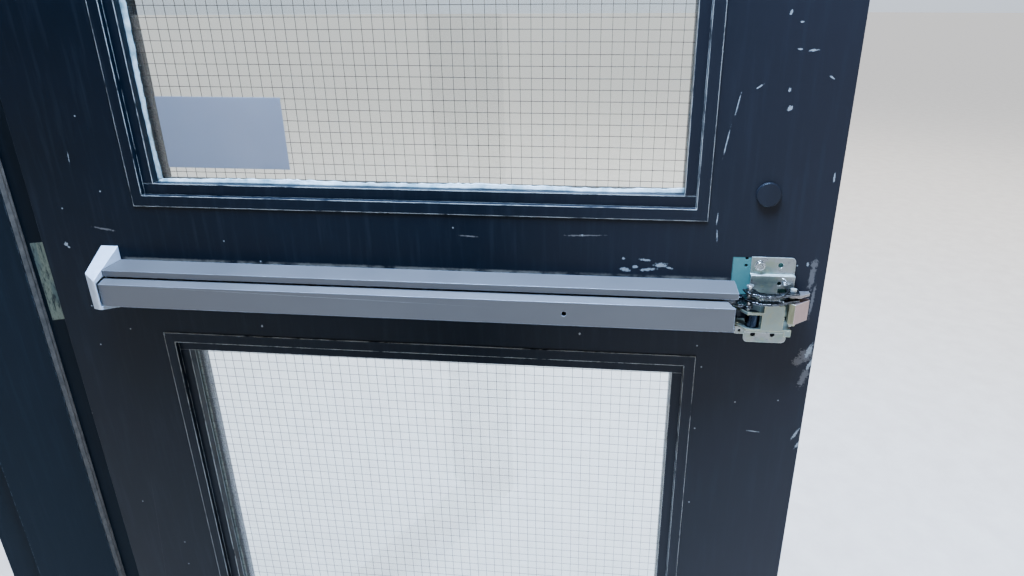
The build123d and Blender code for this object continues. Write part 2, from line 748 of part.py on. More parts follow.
# Pull rod: a flat bar in the rail, slotted for the cranks, with a tab out to the link pin.
link_u = latch_u + link_pin[0]
link_t = link_pin[1]
rod = device_box((crank_u[0] - 25, link_u), rod_t, rod_h)
arm_shift = crank_arm * math.sin(math.radians(crank_swing / 2))
slot_h = (crank_h[0] - 0.5, crank_h[1] + 0.5)
for u in crank_u:
    at = u + arm_shift
    rod = rod - device_box((at - 3.0, at + 3.0), (rod_t[0] - 1, rod_t[1] + 1), slot_h)
save_leaf("pull_rod", rod)
rod_tab = device_box((link_u - 11.5, link_u), (rod_t[1], link_t), crank_h)
rod_tab = rod_tab + device_post(link_u, link_t, 5.5, crank_h)
save_leaf("rod_tab", rod_tab - device_post(link_u, link_t, link_pin_r, (-30, 30)))

link_shaft = device_post(link_u, link_t, link_pin_r, (-2.0, 29.0))
link_shaft = link_shaft + device_post(link_u, link_t, 3.8, (25.6, 28.0))
save_leaf("link_pin", link_shaft)


def latch_box(v, t, h):
    return device_box((latch_u + v[0], latch_u + v[1]), t, h)


def latch_plate(points, h):
    return device_plate([(latch_u + v, t) for v, t in points], h)


def latch_post(v, t, radius, h):
    return device_post(latch_u + v, t, radius, h)


def latch_bore(v, h, radius, t):
    return device_bore(latch_u + v, h, radius, t)


# Crescent links: curved plates from the link pin to the drive pin, forked at the drive pin.
prong = (drive_pin[0] - 7.0, drive_pin[0] - 3.6, drive_pin[0] + 3.2, drive_pin[0] + 6.3)
prong_t = (drive_pin[1] - 9.7, drive_pin[1] + 2.9)


def crescent(h, deeper):
    v, t = link_pin
    outer = [(v - 7.0, t - 7.0), (v - 4.5, t + 4.5), (v + 2.0, t + 11.5 + deeper), (v + 10.5, t + 15.5 + deeper)]
    outer += [(v + 20.5, t + 17.0 + deeper), (v + 30.5, t + 15.0 + deeper), (v + 42.5, t + 9.0)]
    outer += [(prong[3], t + 3.0), (prong[3], prong_t[0]), (prong[2], prong_t[0]), (prong[2], prong_t[1])]
    outer += [(prong[1], prong_t[1]), (prong[1], prong_t[0]), (prong[0], prong_t[0])]
    inner = [(prong[0], t - 1.0), (v + 32.5, t + 4.5), (v + 20.5, t + 6.5), (v + 10.5, t + 3.0), (v + 6.5, t - 7.0)]
    return latch_plate(outer + inner, h) - latch_post(v, t, link_pin_r, (0, 40))


save_leaf("crescent_links", together([crescent(link_low_h, 1.5), crescent(link_top_h, -1.5)]))

# Tension spring between the crescents, hooked on the link pin and on the lower crescent.
coil_v = (link_pin[0] + 8.5, link_pin[0] + 31.5)
coil_t = link_pin[1] + 10.5
coil_h = (link_low_h[1] + link_top_h[0]) / 2
coil_r = 2.3
coil_wire = 0.5
coil_turns = 12
coil_long = coil_v[1] - coil_v[0]
path = Helix(pitch=coil_long / coil_turns, height=coil_long, radius=coil_r)
start = Plane(origin=path @ 0, z_dir=path % 0)
coil = sweep(start * Circle(coil_wire), path=path, is_frenet=True)
coil = Pos(leaf_x(latch_u + coil_v[0]), leaf_y(face_w + coil_t), bar_z + coil_h) * Rot(Y=90) * coil
tail_h = coil_h - coil_r
tail_v = coil_v[1] + 5
reach = math.dist((coil_v[0], coil_t), link_pin)
near = 1 - (link_pin_r + coil_wire / 4) / reach
hook_end = [c + (p - c) * near for c, p in zip((coil_v[0], coil_t), link_pin)]


def latch_point(v, t, h):
    return (leaf_x(latch_u + v), leaf_y(face_w + t), bar_z + h)


def wire_run(a, b):
    along = Vector(*b) - Vector(*a)
    return extrude(Plane(origin=a, z_dir=along) * Circle(coil_wire), along.length)


coil = coil + wire_run(latch_point(coil_v[0], coil_t, tail_h), latch_point(*hook_end, tail_h))
coil = coil + wire_run(latch_point(coil_v[1], coil_t, tail_h), latch_point(tail_v, coil_t, tail_h))
coil = coil + latch_post(tail_v, coil_t, coil_wire, (link_low_h[1], tail_h + coil_wire))
save_leaf("latch_spring", coil)

# Stepped base plate: a top flange and a lower tab on the door, the middle stands off it.
base_v = (-51.0, -1.0)
flange_h = (35.0, 55.5)
low_tab_h = (-53.4, -36.5)
middle_t = (plate_stand, plate_stand + plate_sheet)
flat_t = (0, plate_sheet)
bolt_bay_v = (-21.0, 2.0)
base = latch_box(base_v, flat_t, flange_h)
base = base + latch_box(base_v, (0, middle_t[1]), (flange_h[0] - plate_sheet, flange_h[0]))
base = base + latch_box(base_v, middle_t, (low_tab_h[1], flange_h[0]))
base = base + latch_box(base_v, (0, middle_t[1]), (low_tab_h[1] - plate_sheet, low_tab_h[1]))
base = base + latch_box(base_v, flat_t, low_tab_h)
base = base + latch_box((base_v[0] - 11.0, base_v[0]), flat_t, (low_tab_h[1] - 6.5, low_tab_h[1] + 3.0))
base = base - latch_box(bolt_bay_v, (-1, middle_t[1] + 1), (-18.0, fork_h[1] + 1.3))
base = base - latch_box((-6.5, 2.0), (1, middle_t[1] + 1), (floor_h[0] - 3.3, -18.0))
base = base + latch_box((bolt_bay_v[0], 6.0), flat_t, (-18.0, 11.5))
base = base + latch_box((bolt_bay_v[0], bolt_bay_v[0] + plate_sheet), (0, middle_t[1]), (-18.0, fork_h[1] + 1.3))
knuckle_h = (bolt_h[0] + 7.4, bolt_h[1] - 7.5)
base = base + latch_post(0, pivot_t, 3.3, knuckle_h) + latch_box((-3.0, 3.0), (0, pivot_t), knuckle_h)
corner_r = 5.0
for v, h in ((base_v[1], flange_h[1]), (base_v[1], low_tab_h[0]), (base_v[0], low_tab_h[0])):
    inner_v = v - corner_r if v == base_v[1] else v + corner_r
    inner_h = h - corner_r if h == flange_h[1] else h + corner_r
    block = latch_box(sorted((v, inner_v)), (-1, 5), sorted((h, inner_h)))
    base = base - (block - latch_bore(inner_v, inner_h, corner_r, (-2, 6)))
base_screw_at = (-41.0, 45.5)
hole_r = 3.2
for v, h in (base_screw_at, (-17.5, 46.3), (-40.0, -43.0), (-17.0, -42.6)):
    base = base - latch_bore(v, h, hole_r, (-1, 12))
base = base - latch_bore(base_v[0] - 5.5, low_tab_h[1] - 2.0, 2.0, (-1, 12))
screw_way = latch_bore(*base_screw_at, hole_r, (-30, 1))
push_sheet = push_sheet - screw_way
latch_backing = latch_backing - screw_way
base = base - latch_bore(-18.2, 25.7, 2.6, (plate_stand - 1, plate_stand + 4))
base = base - latch_post(0, pivot_t, pivot_r, (-30, 30))
save_leaf("latch_base_plate", base)

# Old screw holes of an earlier device beside the plate.
for v, h in ((-56.2, 53.1), (-56.4, 44.3)):
    push_sheet = push_sheet - latch_bore(v, h, 1.9, (-15, 1))
    latch_backing = latch_backing - latch_bore(v, h, 1.9, (-15, 1))

screw_v, screw_h = base_screw_at
washer = latch_bore(screw_v, screw_h, 6.2, (plate_sheet, plate_sheet + 1.2))
washer = washer - latch_bore(screw_v, screw_h, hole_r, (0, plate_sheet + 3))
base_screw = latch_bore(screw_v, screw_h, 4.6, (plate_sheet + 1.2, plate_sheet + 2.8))
base_screw = base_screw + device_cone(latch_u + screw_v, screw_h, 4.6, 2.9, (plate_sheet + 2.8, plate_sheet + 3.8))
base_screw = base_screw + latch_bore(screw_v, screw_h, 3.1, (-12, plate_sheet + 1.2))
for half in ((2.0, 0.3), (0.3, 2.0)):
    cut_v = (screw_v - half[0], screw_v + half[0])
    cut_h = (screw_h - half[1], screw_h + half[1])
    base_screw = base_screw - latch_box(cut_v, (plate_sheet + 2.2, plate_sheet + 5), cut_h)
save_leaf("device_fasteners", together([base_screw, washer] + cap_screws))

# Latch bracket: a floor, the front plate with its window, the box side, and the strap slanted back to the door.
window_v = (-54.5, -36.0)
box_v = (window_v[1], -13.5)
window_top = -2.4
strap_high = 2.9
box_top = 6.6
case_back = case_front - case_sheet
strap_foot = (-75.0, 0.2)
strap_head = (window_v[0], case_front)
floor_line = [strap_foot, strap_head, (-3.5, case_front), (-3.5, 13.0), (4.5, 13.0), (4.5, 2.1), (-5.5, 2.1)]
floor_line += [(-5.5, middle_t[1]), (-52.0, middle_t[1]), (-52.0, 0.2)]
case = latch_plate(floor_line, floor_h)
case = case - latch_box((-80, rail_u[1] - latch_u + 0.2), (-5, rail_deep), (-30, 0))
case = case + latch_box((window_v[0], box_v[1]), (case_back, case_front), (floor_h[0], window_top))
case = case + latch_box(box_v, (case_back, case_front), (floor_h[0], box_top))
window = (floor_h[1], window_top - strap_high)
case = case - latch_box((window_v[0] - 1, window_v[1] - 1.7), (case_back - 1, case_front + 1), window)
case = case + latch_box((box_v[0], box_v[0] + case_sheet), (middle_t[1], case_front), (floor_h[0], box_top))
case = case + latch_box((-11.0, -3.5), (case_back, case_front), (floor_h[0] - 6.4, floor_h[1]))
run = (strap_head[0] - strap_foot[0], strap_head[1] - strap_foot[1])
run_long = math.hypot(*run)
off = (run[1] / run_long * case_sheet, -run[0] / run_long * case_sheet)
strap = [strap_foot, strap_head, (strap_head[0] + 1.7, case_front), (strap_foot[0] + off[0] + 0.3, 0.2)]
rail_room = latch_box((-80, rail_u[1] - latch_u + 0.2), (-5, rail_deep), (-30, 0))
case = case + (latch_plate(strap, (window_top - strap_high, window_top)) - rail_room)
case = case - latch_post(0, pivot_t, pivot_r + running, (floor_h[0] - 1, floor_h[1] + 1))
case = case - latch_post(-61.5, 13.5, 1.8, (floor_h[0] - 1, floor_h[1] + 1))
save_leaf("latch_bracket", case)

barrel_at = (-46.3, 19.5)
barrel = latch_post(*barrel_at, 8.3, (floor_h[1], -7.0)) + latch_post(*barrel_at, 5.0, (-7.0, -5.4))
save_leaf("spring_barrel", barrel)

pivot_pin = latch_post(0, pivot_t, pivot_r, (floor_h[0] - 1.6, bolt_h[1]))
pivot_pin = pivot_pin + latch_post(0, pivot_t, 3.0, (floor_h[0] - 2.8, floor_h[0]))
save_leaf("latch_pivot_pin", pivot_pin)

# Latch bolt: a wedge on two ears, with the drive pin standing through its fork plate.
bolt_line = [(-5.5, 9.5), (16.5, 9.5), (16.5, 15.5), (-2.7, 32.5), (-8.6, 29.1), (-8.6, 21.5)]
bolt = latch_plate(bolt_line, bolt_h)
for h in ((bolt_h[0], bolt_h[0] + 6), (bolt_h[1] - 6, bolt_h[1])):
    bolt = bolt + latch_post(0, pivot_t, 3.5, h) + latch_box((-3.5, 3.5), (pivot_t, 10.0), h)
bolt = bolt - latch_post(0, pivot_t, 3.6, (bolt_h[0] + 6, bolt_h[1] - 6))
bolt = bolt - latch_post(0, pivot_t, pivot_r + running, (-25, 25))
bolt = bolt + latch_box((3.8, 8.0), (9.5, 15.0), (bolt_h[1], fork_h[0]))
fork_line = [(-5.5, 10.1), (15.5, 10.1), (15.5, 16.5), (3.0, 25.5), (-8.0, 25.5), (-8.0, 15.5)]
bolt = bolt + latch_plate(fork_line, fork_h)
bolt = bolt + latch_post(*drive_pin, 2.5, (bolt_h[1], 22.4)) + latch_post(*drive_pin, 3.4, (21.6, 24.4))
save_leaf("latch_bolt", bolt)

# Rim strike on the soffit of the strike jamb: a plate with a keeper lip in front of the bolt.
soffit_u = leaf_width + leaf_gap - stop_high
strike_u = (soffit_u - 3.0, soffit_u)
strike = device_box(strike_u, (5.5, 43.5), (-47.0, 41.0))
strike = strike + device_box((soffit_u - 13.5, soffit_u), (5.3, 8.8), (-25.0, 21.0))
strike_screws = []
for h in (-39.0, 33.0):
    x = leaf_x(strike_u[0])
    y = leaf_y(face_w + 29.5)
    cone = Pos(x + 1.2, y, bar_z + h) * Rot(Y=90) * Cone(4.2, 2.2, 2.4)
    shank = Pos(x + 2.4 + 5, y, bar_z + h) * Rot(Y=90) * Cylinder(2.2, 10)
    strike_screws.append(cone + shank)
for screw in strike_screws:
    strike = strike - screw
    strike_jamb = strike_jamb - screw
save("rim_strike", strike)
save("frame_screws", together(frame_screws + strike_screws))
for screw in frame_screws:
    hinge_jamb = hinge_jamb - screw
save("hinge_jamb", hinge_jamb)
save("strike_jamb", strike_jamb)

for screw in leaf_screws:
    push_sheet = push_sheet - screw
    pull_sheet = pull_sheet - screw
save_leaf("leaf_push_sheet", push_sheet - plug_hole)
save_leaf("leaf_pull_sheet", pull_sheet)
save_leaf("leaf_reinforcements", together(leaf_backings + [latch_backing]))
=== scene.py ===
import json
import math
import random

import bmesh
import bpy
from mathutils import Matrix, Vector


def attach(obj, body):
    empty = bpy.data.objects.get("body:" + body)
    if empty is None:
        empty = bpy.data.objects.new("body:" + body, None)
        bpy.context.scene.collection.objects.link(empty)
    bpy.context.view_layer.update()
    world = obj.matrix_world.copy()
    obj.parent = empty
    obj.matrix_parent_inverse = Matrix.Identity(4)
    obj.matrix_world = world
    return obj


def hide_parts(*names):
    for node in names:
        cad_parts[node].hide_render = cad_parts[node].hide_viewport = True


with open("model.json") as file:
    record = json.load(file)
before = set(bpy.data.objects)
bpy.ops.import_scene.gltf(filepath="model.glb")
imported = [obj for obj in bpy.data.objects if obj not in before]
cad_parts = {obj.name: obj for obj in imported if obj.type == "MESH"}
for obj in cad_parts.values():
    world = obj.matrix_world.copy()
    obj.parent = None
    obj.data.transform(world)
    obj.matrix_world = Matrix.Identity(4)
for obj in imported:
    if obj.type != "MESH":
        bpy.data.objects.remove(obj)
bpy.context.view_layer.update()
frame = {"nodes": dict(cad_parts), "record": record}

nodes = frame["nodes"]
MM = 0.001
TO_MM = (1000, 1000, 1000)

# The leaf is described in its closed place by u from its hinge edge, w from its outside face towards the
# room, and height, all in millimetres, and it stands swung open about its hinge pins. The latch turns at
# LATCH_U, and its drive pin stands towards the hinge and the room from there. In a material the same place
# reads (u, -w, height), and a mark drawn THROUGH ignores the leaf's thickness.
LEAF_EDGE_X = -490.5
OUTSIDE_FACE_Y = 95.25
LEAF_THICK = 44.5
PIN = (-492.0, 107.95)
OPEN_ANGLE = math.radians(63.0)
BAR_Z = 1025.0
LATCH_U = 946.0
DRIVE_PIN = (LATCH_U - 3.8, -LEAF_THICK - 19.5, BAR_Z + 20.0)
PLATE_HIGHLIGHT_LEDGE = BAR_Z + 35.0
THROUGH = 1e6


def at_leaf(u, w, height):
    away = Vector((LEAF_EDGE_X + u - PIN[0], OUTSIDE_FACE_Y - w - PIN[1], 0))
    away.rotate(Matrix.Rotation(OPEN_ANGLE, 3, "Z"))
    return Vector((away.x + PIN[0], away.y + PIN[1], height)) * MM


# ---- node helpers

# An sRGB hex colour as the linear values that the shaders take.
def linear(colour):
    channels = [int(colour[i:i + 2], 16) / 255 for i in (1, 3, 5)]
    return tuple(c / 12.92 if c <= 0.04045 else ((c + 0.055) / 1.055) ** 2.4 for c in channels) + (1.0,)


# One node with its sockets set or linked and its settings.
def add(tree, kind, sockets, out=0, **settings):
    made = tree.nodes.new(kind)
    for key, value in settings.items():
        setattr(made, key, value)
    for key, value in sockets.items():
        if isinstance(value, bpy.types.NodeSocket):
            tree.links.new(value, made.inputs[key])
        else:
            made.inputs[key].default_value = value
    return made.outputs[out]


# A new node material with its tree and its shader.
def begin(name):
    material = bpy.data.materials.new(name)
    material.use_nodes = True
    tree = material.node_tree
    return material, tree, tree.nodes["Principled BSDF"]


# Millimetres on the closed leaf, so that a pattern stays on the leaf as it stands.
def leaf_place(tree):
    spot = add(tree, "ShaderNodeTexCoord", {}, "Object")
    pin = Vector((PIN[0], PIN[1], 0))
    back = pin.copy()
    back.rotate(Matrix.Rotation(-OPEN_ANGLE, 3, "Z"))
    shift = pin - back - Vector((LEAF_EDGE_X, OUTSIDE_FACE_Y, 0))
    sockets = {"Vector": spot, "Location": shift, "Rotation": (0, 0, -OPEN_ANGLE), "Scale": TO_MM}
    return add(tree, "ShaderNodeMapping", sockets)


# Millimetres on the frame.
def frame_place(tree):
    spot = add(tree, "ShaderNodeTexCoord", {}, "Object")
    return add(tree, "ShaderNodeMapping", {"Vector": spot, "Scale": TO_MM})


# 1 along the corners, 0 on the faces: it marks the corners that hands and feet wear on the enamels, and the
#                                      painted highlights on the metals and mouldings.
def edge_wear_and_highlight_mask(tree, radius):
    soft = add(tree, "ShaderNodeBevel", {"Radius": radius * MM}, samples=6)
    true = add(tree, "ShaderNodeNewGeometry", {}, "Normal")
    across = add(tree, "ShaderNodeVectorMath", {0: soft, 1: true}, "Value", operation="DOT_PRODUCT")
    sockets = {"Value": across, "From Min": 0.995, "From Max": 0.90}
    return add(tree, "ShaderNodeMapRange", sockets)


# Marks on the inside face of the leaf: ellipses whose rims crumble away.
def marks(tree, place, crumble, spots):
    nearest = None
    for u, z, half_u, half_z, lean in spots:
        sockets = {"Vector": place, "Location": (u, 0, z), "Rotation": (0, math.radians(lean), 0)}
        sockets["Scale"] = (half_u, THROUGH, half_z)
        local = add(tree, "ShaderNodeMapping", sockets, vector_type="TEXTURE")
        far = add(tree, "ShaderNodeVectorMath", {0: local}, "Value", operation="LENGTH")
        if nearest:
            far = add(tree, "ShaderNodeMath", {0: far, 1: nearest}, operation="MINIMUM")
        nearest = far
    ragged = add(tree, "ShaderNodeMath", {0: crumble, 1: 3.4, 2: nearest}, operation="MULTIPLY_ADD")
    return add(tree, "ShaderNodeMapRange", {"Value": ragged, "From Min": 2.75, "From Max": 2.5})


# ---- paint

# Chips, scrapes and specks of the inside face: u, height, half width, half height, lean in degrees.
CHIPS = [
    (749, 1059, 6, 2.2, 8), (761, 1063, 3.2, 1.6, 0), (776, 1060, 9, 1.6, -8), (791, 1066, 8, 2.4, -4),
    (772, 1072, 6, 1.4, 5), (747, 1073, 2, 1.6, 0), (801, 1063, 4, 1.1, 12), (825, 1318, 2.2, 3.2, 12),
    (696, 971, 1.7, 1.6, 0), (280, 963, 1.3, 1.5, 0), (862, 1252, 0.6, 11, 10), (854, 1212, 0.6, 15, 9),
    (851.5, 1124, 0.6, 6, 2), (853, 1104, 0.6, 8, -4), (975.5, 962, 2.6, 10, 18), (979, 944, 2, 8, 24),
    (974.5, 842, 1.6, 9, 25), (979, 826, 1.4, 7, 25), (921, 843, 7, 0.8, 4), (959, 1073, 1.4, 2, 0),
    (906, 1344, 1.2, 3, 15), (918, 1335, 1.6, 0.9, 0), (919, 1308.6, 3.6, 0.8, 4),
    (933, 1307.5, 5, 1, -4), (955, 1281, 3, 0.8, 30), (914, 1268, 1.2, 2.4, 0), (917, 1249, 2.2, 3, 40),
    (883, 1271, 4.5, 0.7, -35), (973.5, 1176, 0.8, 5, 0), (32.4, 1068, 2.6, 2.8, 0),
    (36, 1064, 1.6, 1.2, 20), (889, 997, 1.3, 1.1, 20), (68, 1181, 0.5, 7, 4),
]
# Where the film is rubbed through to grey-brown without an edge, and where rust has come up.
RUBS = [
    (965.5, 1058, 3.2, 17, 3), (966.5, 1073, 4.0, 5, 8), (970, 1027, 1.8, 22, 3), (972, 955, 8.0, 9, 20),
    (964, 947, 6.0, 6, 0), (974, 925, 4.0, 14, 14), (886.5, 1010, 3.5, 7, 0), (92, 1090, 14, 1.2, 8),
    (560, 1095, 12, 0.8, 3), (700, 1100, 22, 0.9, -2),
]
RUST = [(889, 995, 4.6, 6.0, 0), (895, 987, 2.6, 1.6, 0)]


# Small stone-chip specks, one in a few of the 50 mm cells they are dealt into.
def specks(tree, place):
    flat = add(tree, "ShaderNodeMapping", {"Vector": place, "Rotation": (-math.pi / 2, 0, 0)})
    far = add(tree, "ShaderNodeTexVoronoi", {"Vector": flat, "Scale": 1 / 50}, voronoi_dimensions="2D")
    near = add(tree, "ShaderNodeMapRange", {"Value": far, "From Min": 0.024, "From Max": 0.014})
    draw = add(tree, "ShaderNodeSeparateColor", {"Color": far.node.outputs["Color"]})
    few = add(tree, "ShaderNodeMath", {0: draw, 1: 0.78}, operation="GREATER_THAN")
    return add(tree, "ShaderNodeMath", {0: near, 1: few}, operation="MULTIPLY")


# Brushed oil enamel on cold-rolled steel sheet: a navy film that is almost black, half gloss. Dust has
# dulled it in faint upright drags and clouds, chips go down to the pale undercoat, and corners are rubbed;
# the pale corners of the mouldings are also a painted highlight.
def leaf_enamel(name, chipped, rub, edge_wear_and_highlight_shade, cover=(0.44, 0.58)):
    material, tree, shader = begin(name)
    place = leaf_place(tree)
    streaks = add(tree, "ShaderNodeMapping", {"Vector": place, "Scale": (1 / 9, 1 / 9, 1 / 120)})
    sockets = {"Vector": streaks, "Scale": 1.0, "Detail": 4.0, "Roughness": 0.6}
    drag = add(tree, "ShaderNodeTexNoise", sockets)
    sockets = {"Vector": place, "Scale": 1 / 180, "Detail": 4.0, "Roughness": 0.6}
    cloud = add(tree, "ShaderNodeTexNoise", sockets)
    grain = add(tree, "ShaderNodeTexNoise", {"Vector": place, "Scale": 1 / 1.6, "Detail": 3.0})
    height = add(tree, "ShaderNodeSeparateXYZ", {"Vector": place}, "Z")
    sockets = {0: cloud, 6: linear("#01090F"), 7: linear("#06111C")}
    base = add(tree, "ShaderNodeMix", sockets, 2, data_type="RGBA")
    low_down = add(tree, "ShaderNodeMapRange", {"Value": height, "From Min": 1100, "From Max": 450})
    base = add(tree, "ShaderNodeMix", {0: low_down, 6: base, 7: linear("#0B0A0B")}, 2, data_type="RGBA")
    # Painted light: the film is painted lighter towards the latch edge, where the light from the street falls
    # across it.
    along = add(tree, "ShaderNodeSeparateXYZ", {"Vector": place}, "X")
    sockets = {"Value": along, "From Min": 560, "From Max": 1000, "To Max": 0.75}
    street_side_painted_light = add(tree, "ShaderNodeMapRange", sockets)
    base = add(tree, "ShaderNodeMix", {0: street_side_painted_light, 6: base, 7: linear("#27262A")}, 2, data_type="RGBA")
    sockets = {"Value": drag, "From Min": 0.5, "From Max": 0.85, "To Max": 0.22}
    dusty = add(tree, "ShaderNodeMapRange", sockets)
    base = add(tree, "ShaderNodeMix", {0: dusty, 6: base, 7: linear("#2C333A")}, 2, data_type="RGBA")
    sockets = {"Vector": place, "Scale": 1 / 3.0, "Detail": 5.0, "Roughness": 0.75}
    crumble = add(tree, "ShaderNodeTexNoise", sockets)
    edges = edge_wear_and_highlight_mask(tree, rub)
    sockets = {"Vector": place, "Scale": 1 / 26, "Detail": 4.0, "Roughness": 0.7}
    broad = add(tree, "ShaderNodeTexNoise", sockets)
    patchy = add(tree, "ShaderNodeMapRange", {"Value": broad, "From Min": cover[0], "From Max": cover[1]})
    rubbed = add(tree, "ShaderNodeMath", {0: edges, 1: patchy}, operation="MULTIPLY")
    # The corners are worn; on the mouldings their pale shade is also a painted highlight.
    base = add(tree, "ShaderNodeMix", {0: rubbed, 6: base, 7: linear(edge_wear_and_highlight_shade)}, 2, data_type="RGBA")
    if chipped:
        rims = marks(tree, place, crumble, RUBS)
        soft_rims = add(tree, "ShaderNodeMath", {0: rims, 1: 0.6}, operation="MULTIPLY")
        base = add(tree, "ShaderNodeMix", {0: soft_rims, 6: base, 7: linear("#6C6763")}, 2, data_type="RGBA")
        rusty = marks(tree, place, crumble, RUST)
        base = add(tree, "ShaderNodeMix", {0: rusty, 6: base, 7: linear("#6E3B24")}, 2, data_type="RGBA")
        base = ghost_of_bar(tree, place, crumble, base)
        teal = undercoat_patch(tree, place, crumble)
        sockets = {0: broad, 6: linear("#2F605F"), 7: linear("#528078")}
        shades = add(tree, "ShaderNodeMix", sockets, 2, data_type="RGBA")
        base = add(tree, "ShaderNodeMix", {0: teal, 6: base, 7: shades}, 2, data_type="RGBA")
        chips = marks(tree, place, crumble, CHIPS)
        bare = add(tree, "ShaderNodeMath", {0: chips, 1: specks(tree, place)}, operation="MAXIMUM")
        sockets = {0: grain, 6: linear("#565C62"), 7: linear("#A3A5A2")}
        chip_shade = add(tree, "ShaderNodeMix", sockets, 2, data_type="RGBA")
        base = add(tree, "ShaderNodeMix", {0: bare, 6: base, 7: chip_shade}, 2, data_type="RGBA")
    tree.links.new(base, shader.inputs["Base Color"])
    sockets = {"Value": cloud, "From Min": 0.3, "From Max": 0.7, "To Min": 0.30, "To Max": 0.42}
    tree.links.new(add(tree, "ShaderNodeMapRange", sockets), shader.inputs["Roughness"])
    soft = add(tree, "ShaderNodeBevel", {"Radius": 0.8 * MM}, samples=4)
    sockets = {"Height": drag, "Strength": 0.2, "Distance": 0.12 * MM, "Normal": soft}
    tree.links.new(add(tree, "ShaderNodeBump", sockets), shader.inputs["Normal"])
    shader.inputs["IOR"].default_value = 1.5
    shader.inputs["Specular IOR Level"].default_value = 0.11
    return material


# The line that a wider bar left above the rail, and a fainter one below it: the film is rubbed olive brown.
def ghost_of_bar(tree, place, crumble, base):
    apart = add(tree, "ShaderNodeSeparateXYZ", {"Vector": place}, "Z")
    along = add(tree, "ShaderNodeSeparateXYZ", {"Vector": place}, "X")
    sockets = {"Vector": place, "Scale": 1 / 34, "Detail": 5.0, "Roughness": 0.7}
    gaps = add(tree, "ShaderNodeTexNoise", sockets)
    height = add(tree, "ShaderNodeMath", {0: crumble, 1: 5.0, 2: apart}, operation="MULTIPLY_ADD")
    start = add(tree, "ShaderNodeMapRange", {"Value": along, "From Min": 106, "From Max": 112})
    end = add(tree, "ShaderNodeMapRange", {"Value": along, "From Min": 874, "From Max": 866})
    length = add(tree, "ShaderNodeMath", {0: start, 1: end}, operation="MULTIPLY")
    sockets = {0: crumble, 6: linear("#2A2720"), 7: linear("#77726A")}
    shade = add(tree, "ShaderNodeMix", sockets, 2, data_type="RGBA")
    for low, high, strength in ((26.5, 29.5, 0.95), (-41.5, -39.0, 0.35)):
        sockets = {"Value": height, "From Min": BAR_Z + low, "From Max": BAR_Z + low + 1.2}
        above = add(tree, "ShaderNodeMapRange", sockets)
        sockets = {"Value": height, "From Min": BAR_Z + high + 1.8, "From Max": BAR_Z + high}
        below = add(tree, "ShaderNodeMapRange", sockets)
        line = add(tree, "ShaderNodeMath", {0: above, 1: below}, operation="MULTIPLY")
        line = add(tree, "ShaderNodeMath", {0: line, 1: length}, operation="MULTIPLY")
        sockets = {"Value": gaps, "From Min": 0.38, "From Max": 0.56, "To Max": strength}
        broken = add(tree, "ShaderNodeMapRange", sockets)
        line = add(tree, "ShaderNodeMath", {0: line, 1: broken}, operation="MULTIPLY")
        base = add(tree, "ShaderNodeMix", {0: line, 6: base, 7: shade}, 2, data_type="RGBA")
    return base


# The old green-blue paint that an earlier lock case kept covered. It runs on under the base plate.
def undercoat_patch(tree, place, crumble):
    sockets = {"Vector": place, "Location": (906.3, 0, 1056.0), "Scale": (32.0, THROUGH, 23.0)}
    local = add(tree, "ShaderNodeMapping", sockets, vector_type="TEXTURE")
    square = add(tree, "ShaderNodeVectorMath", {0: local}, operation="ABSOLUTE")
    side = add(tree, "ShaderNodeSeparateXYZ", {"Vector": square}, "X")
    tall = add(tree, "ShaderNodeSeparateXYZ", {"Vector": square}, "Z")
    far = add(tree, "ShaderNodeMath", {0: side, 1: tall}, operation="MAXIMUM")
    ragged = add(tree, "ShaderNodeMath", {0: crumble, 1: 0.07, 2: far}, operation="MULTIPLY_ADD")
    return add(tree, "ShaderNodeMapRange", {"Value": ragged, "From Min": 1.06, "From Max": 1.01})


# Brushed enamel on the pressed-steel frame: a black-teal film, duller than the leaf, dusty in patches.
def frame_enamel():
    material, tree, shader = begin("brushed_enamel_on_frame")
    place = frame_place(tree)
    streaks = add(tree, "ShaderNodeMapping", {"Vector": place, "Scale": (1 / 9, 1 / 9, 1 / 220)})
    sockets = {"Vector": streaks, "Scale": 1.0, "Detail": 5.0, "Roughness": 0.7}
    drag = add(tree, "ShaderNodeTexNoise", sockets)
    grain = add(tree, "ShaderNodeTexNoise", {"Vector": place, "Scale": 1 / 1.8, "Detail": 3.0})
    crumble = add(tree, "ShaderNodeTexNoise", {"Vector": place, "Scale": 1 / 5, "Detail": 4.0})
    cloud = add(tree, "ShaderNodeTexNoise", {"Vector": place, "Scale": 1 / 240, "Detail": 4.0})
    sockets = {0: cloud, 6: linear("#040C12"), 7: linear("#0A151C")}
    base = add(tree, "ShaderNodeMix", sockets, 2, data_type="RGBA")
    sockets = {"Value": drag, "From Min": 0.5, "From Max": 0.85, "To Max": 0.2}
    dusty = add(tree, "ShaderNodeMapRange", sockets)
    base = add(tree, "ShaderNodeMix", {0: dusty, 6: base, 7: linear("#29333A")}, 2, data_type="RGBA")
    edges = edge_wear_and_highlight_mask(tree, 1.2)
    patchy = add(tree, "ShaderNodeMapRange", {"Value": crumble, "From Min": 0.45, "From Max": 0.6})
    rubbed = add(tree, "ShaderNodeMath", {0: edges, 1: patchy}, operation="MULTIPLY")
    base = add(tree, "ShaderNodeMix", {0: rubbed, 6: base, 7: linear("#454E55")}, 2, data_type="RGBA")
    tree.links.new(base, shader.inputs["Base Color"])
    shader.inputs["Specular IOR Level"].default_value = 0.12
    sockets = {"Value": drag, "From Min": 0.3, "From Max": 0.7, "To Min": 0.38, "To Max": 0.5}
    tree.links.new(add(tree, "ShaderNodeMapRange", sockets), shader.inputs["Roughness"])
    sockets = {"Height": grain, "Strength": 0.25, "Distance": 0.15 * MM}
    tree.links.new(add(tree, "ShaderNodeBump", sockets), shader.inputs["Normal"])
    shader.inputs["IOR"].default_value = 1.5
    return material
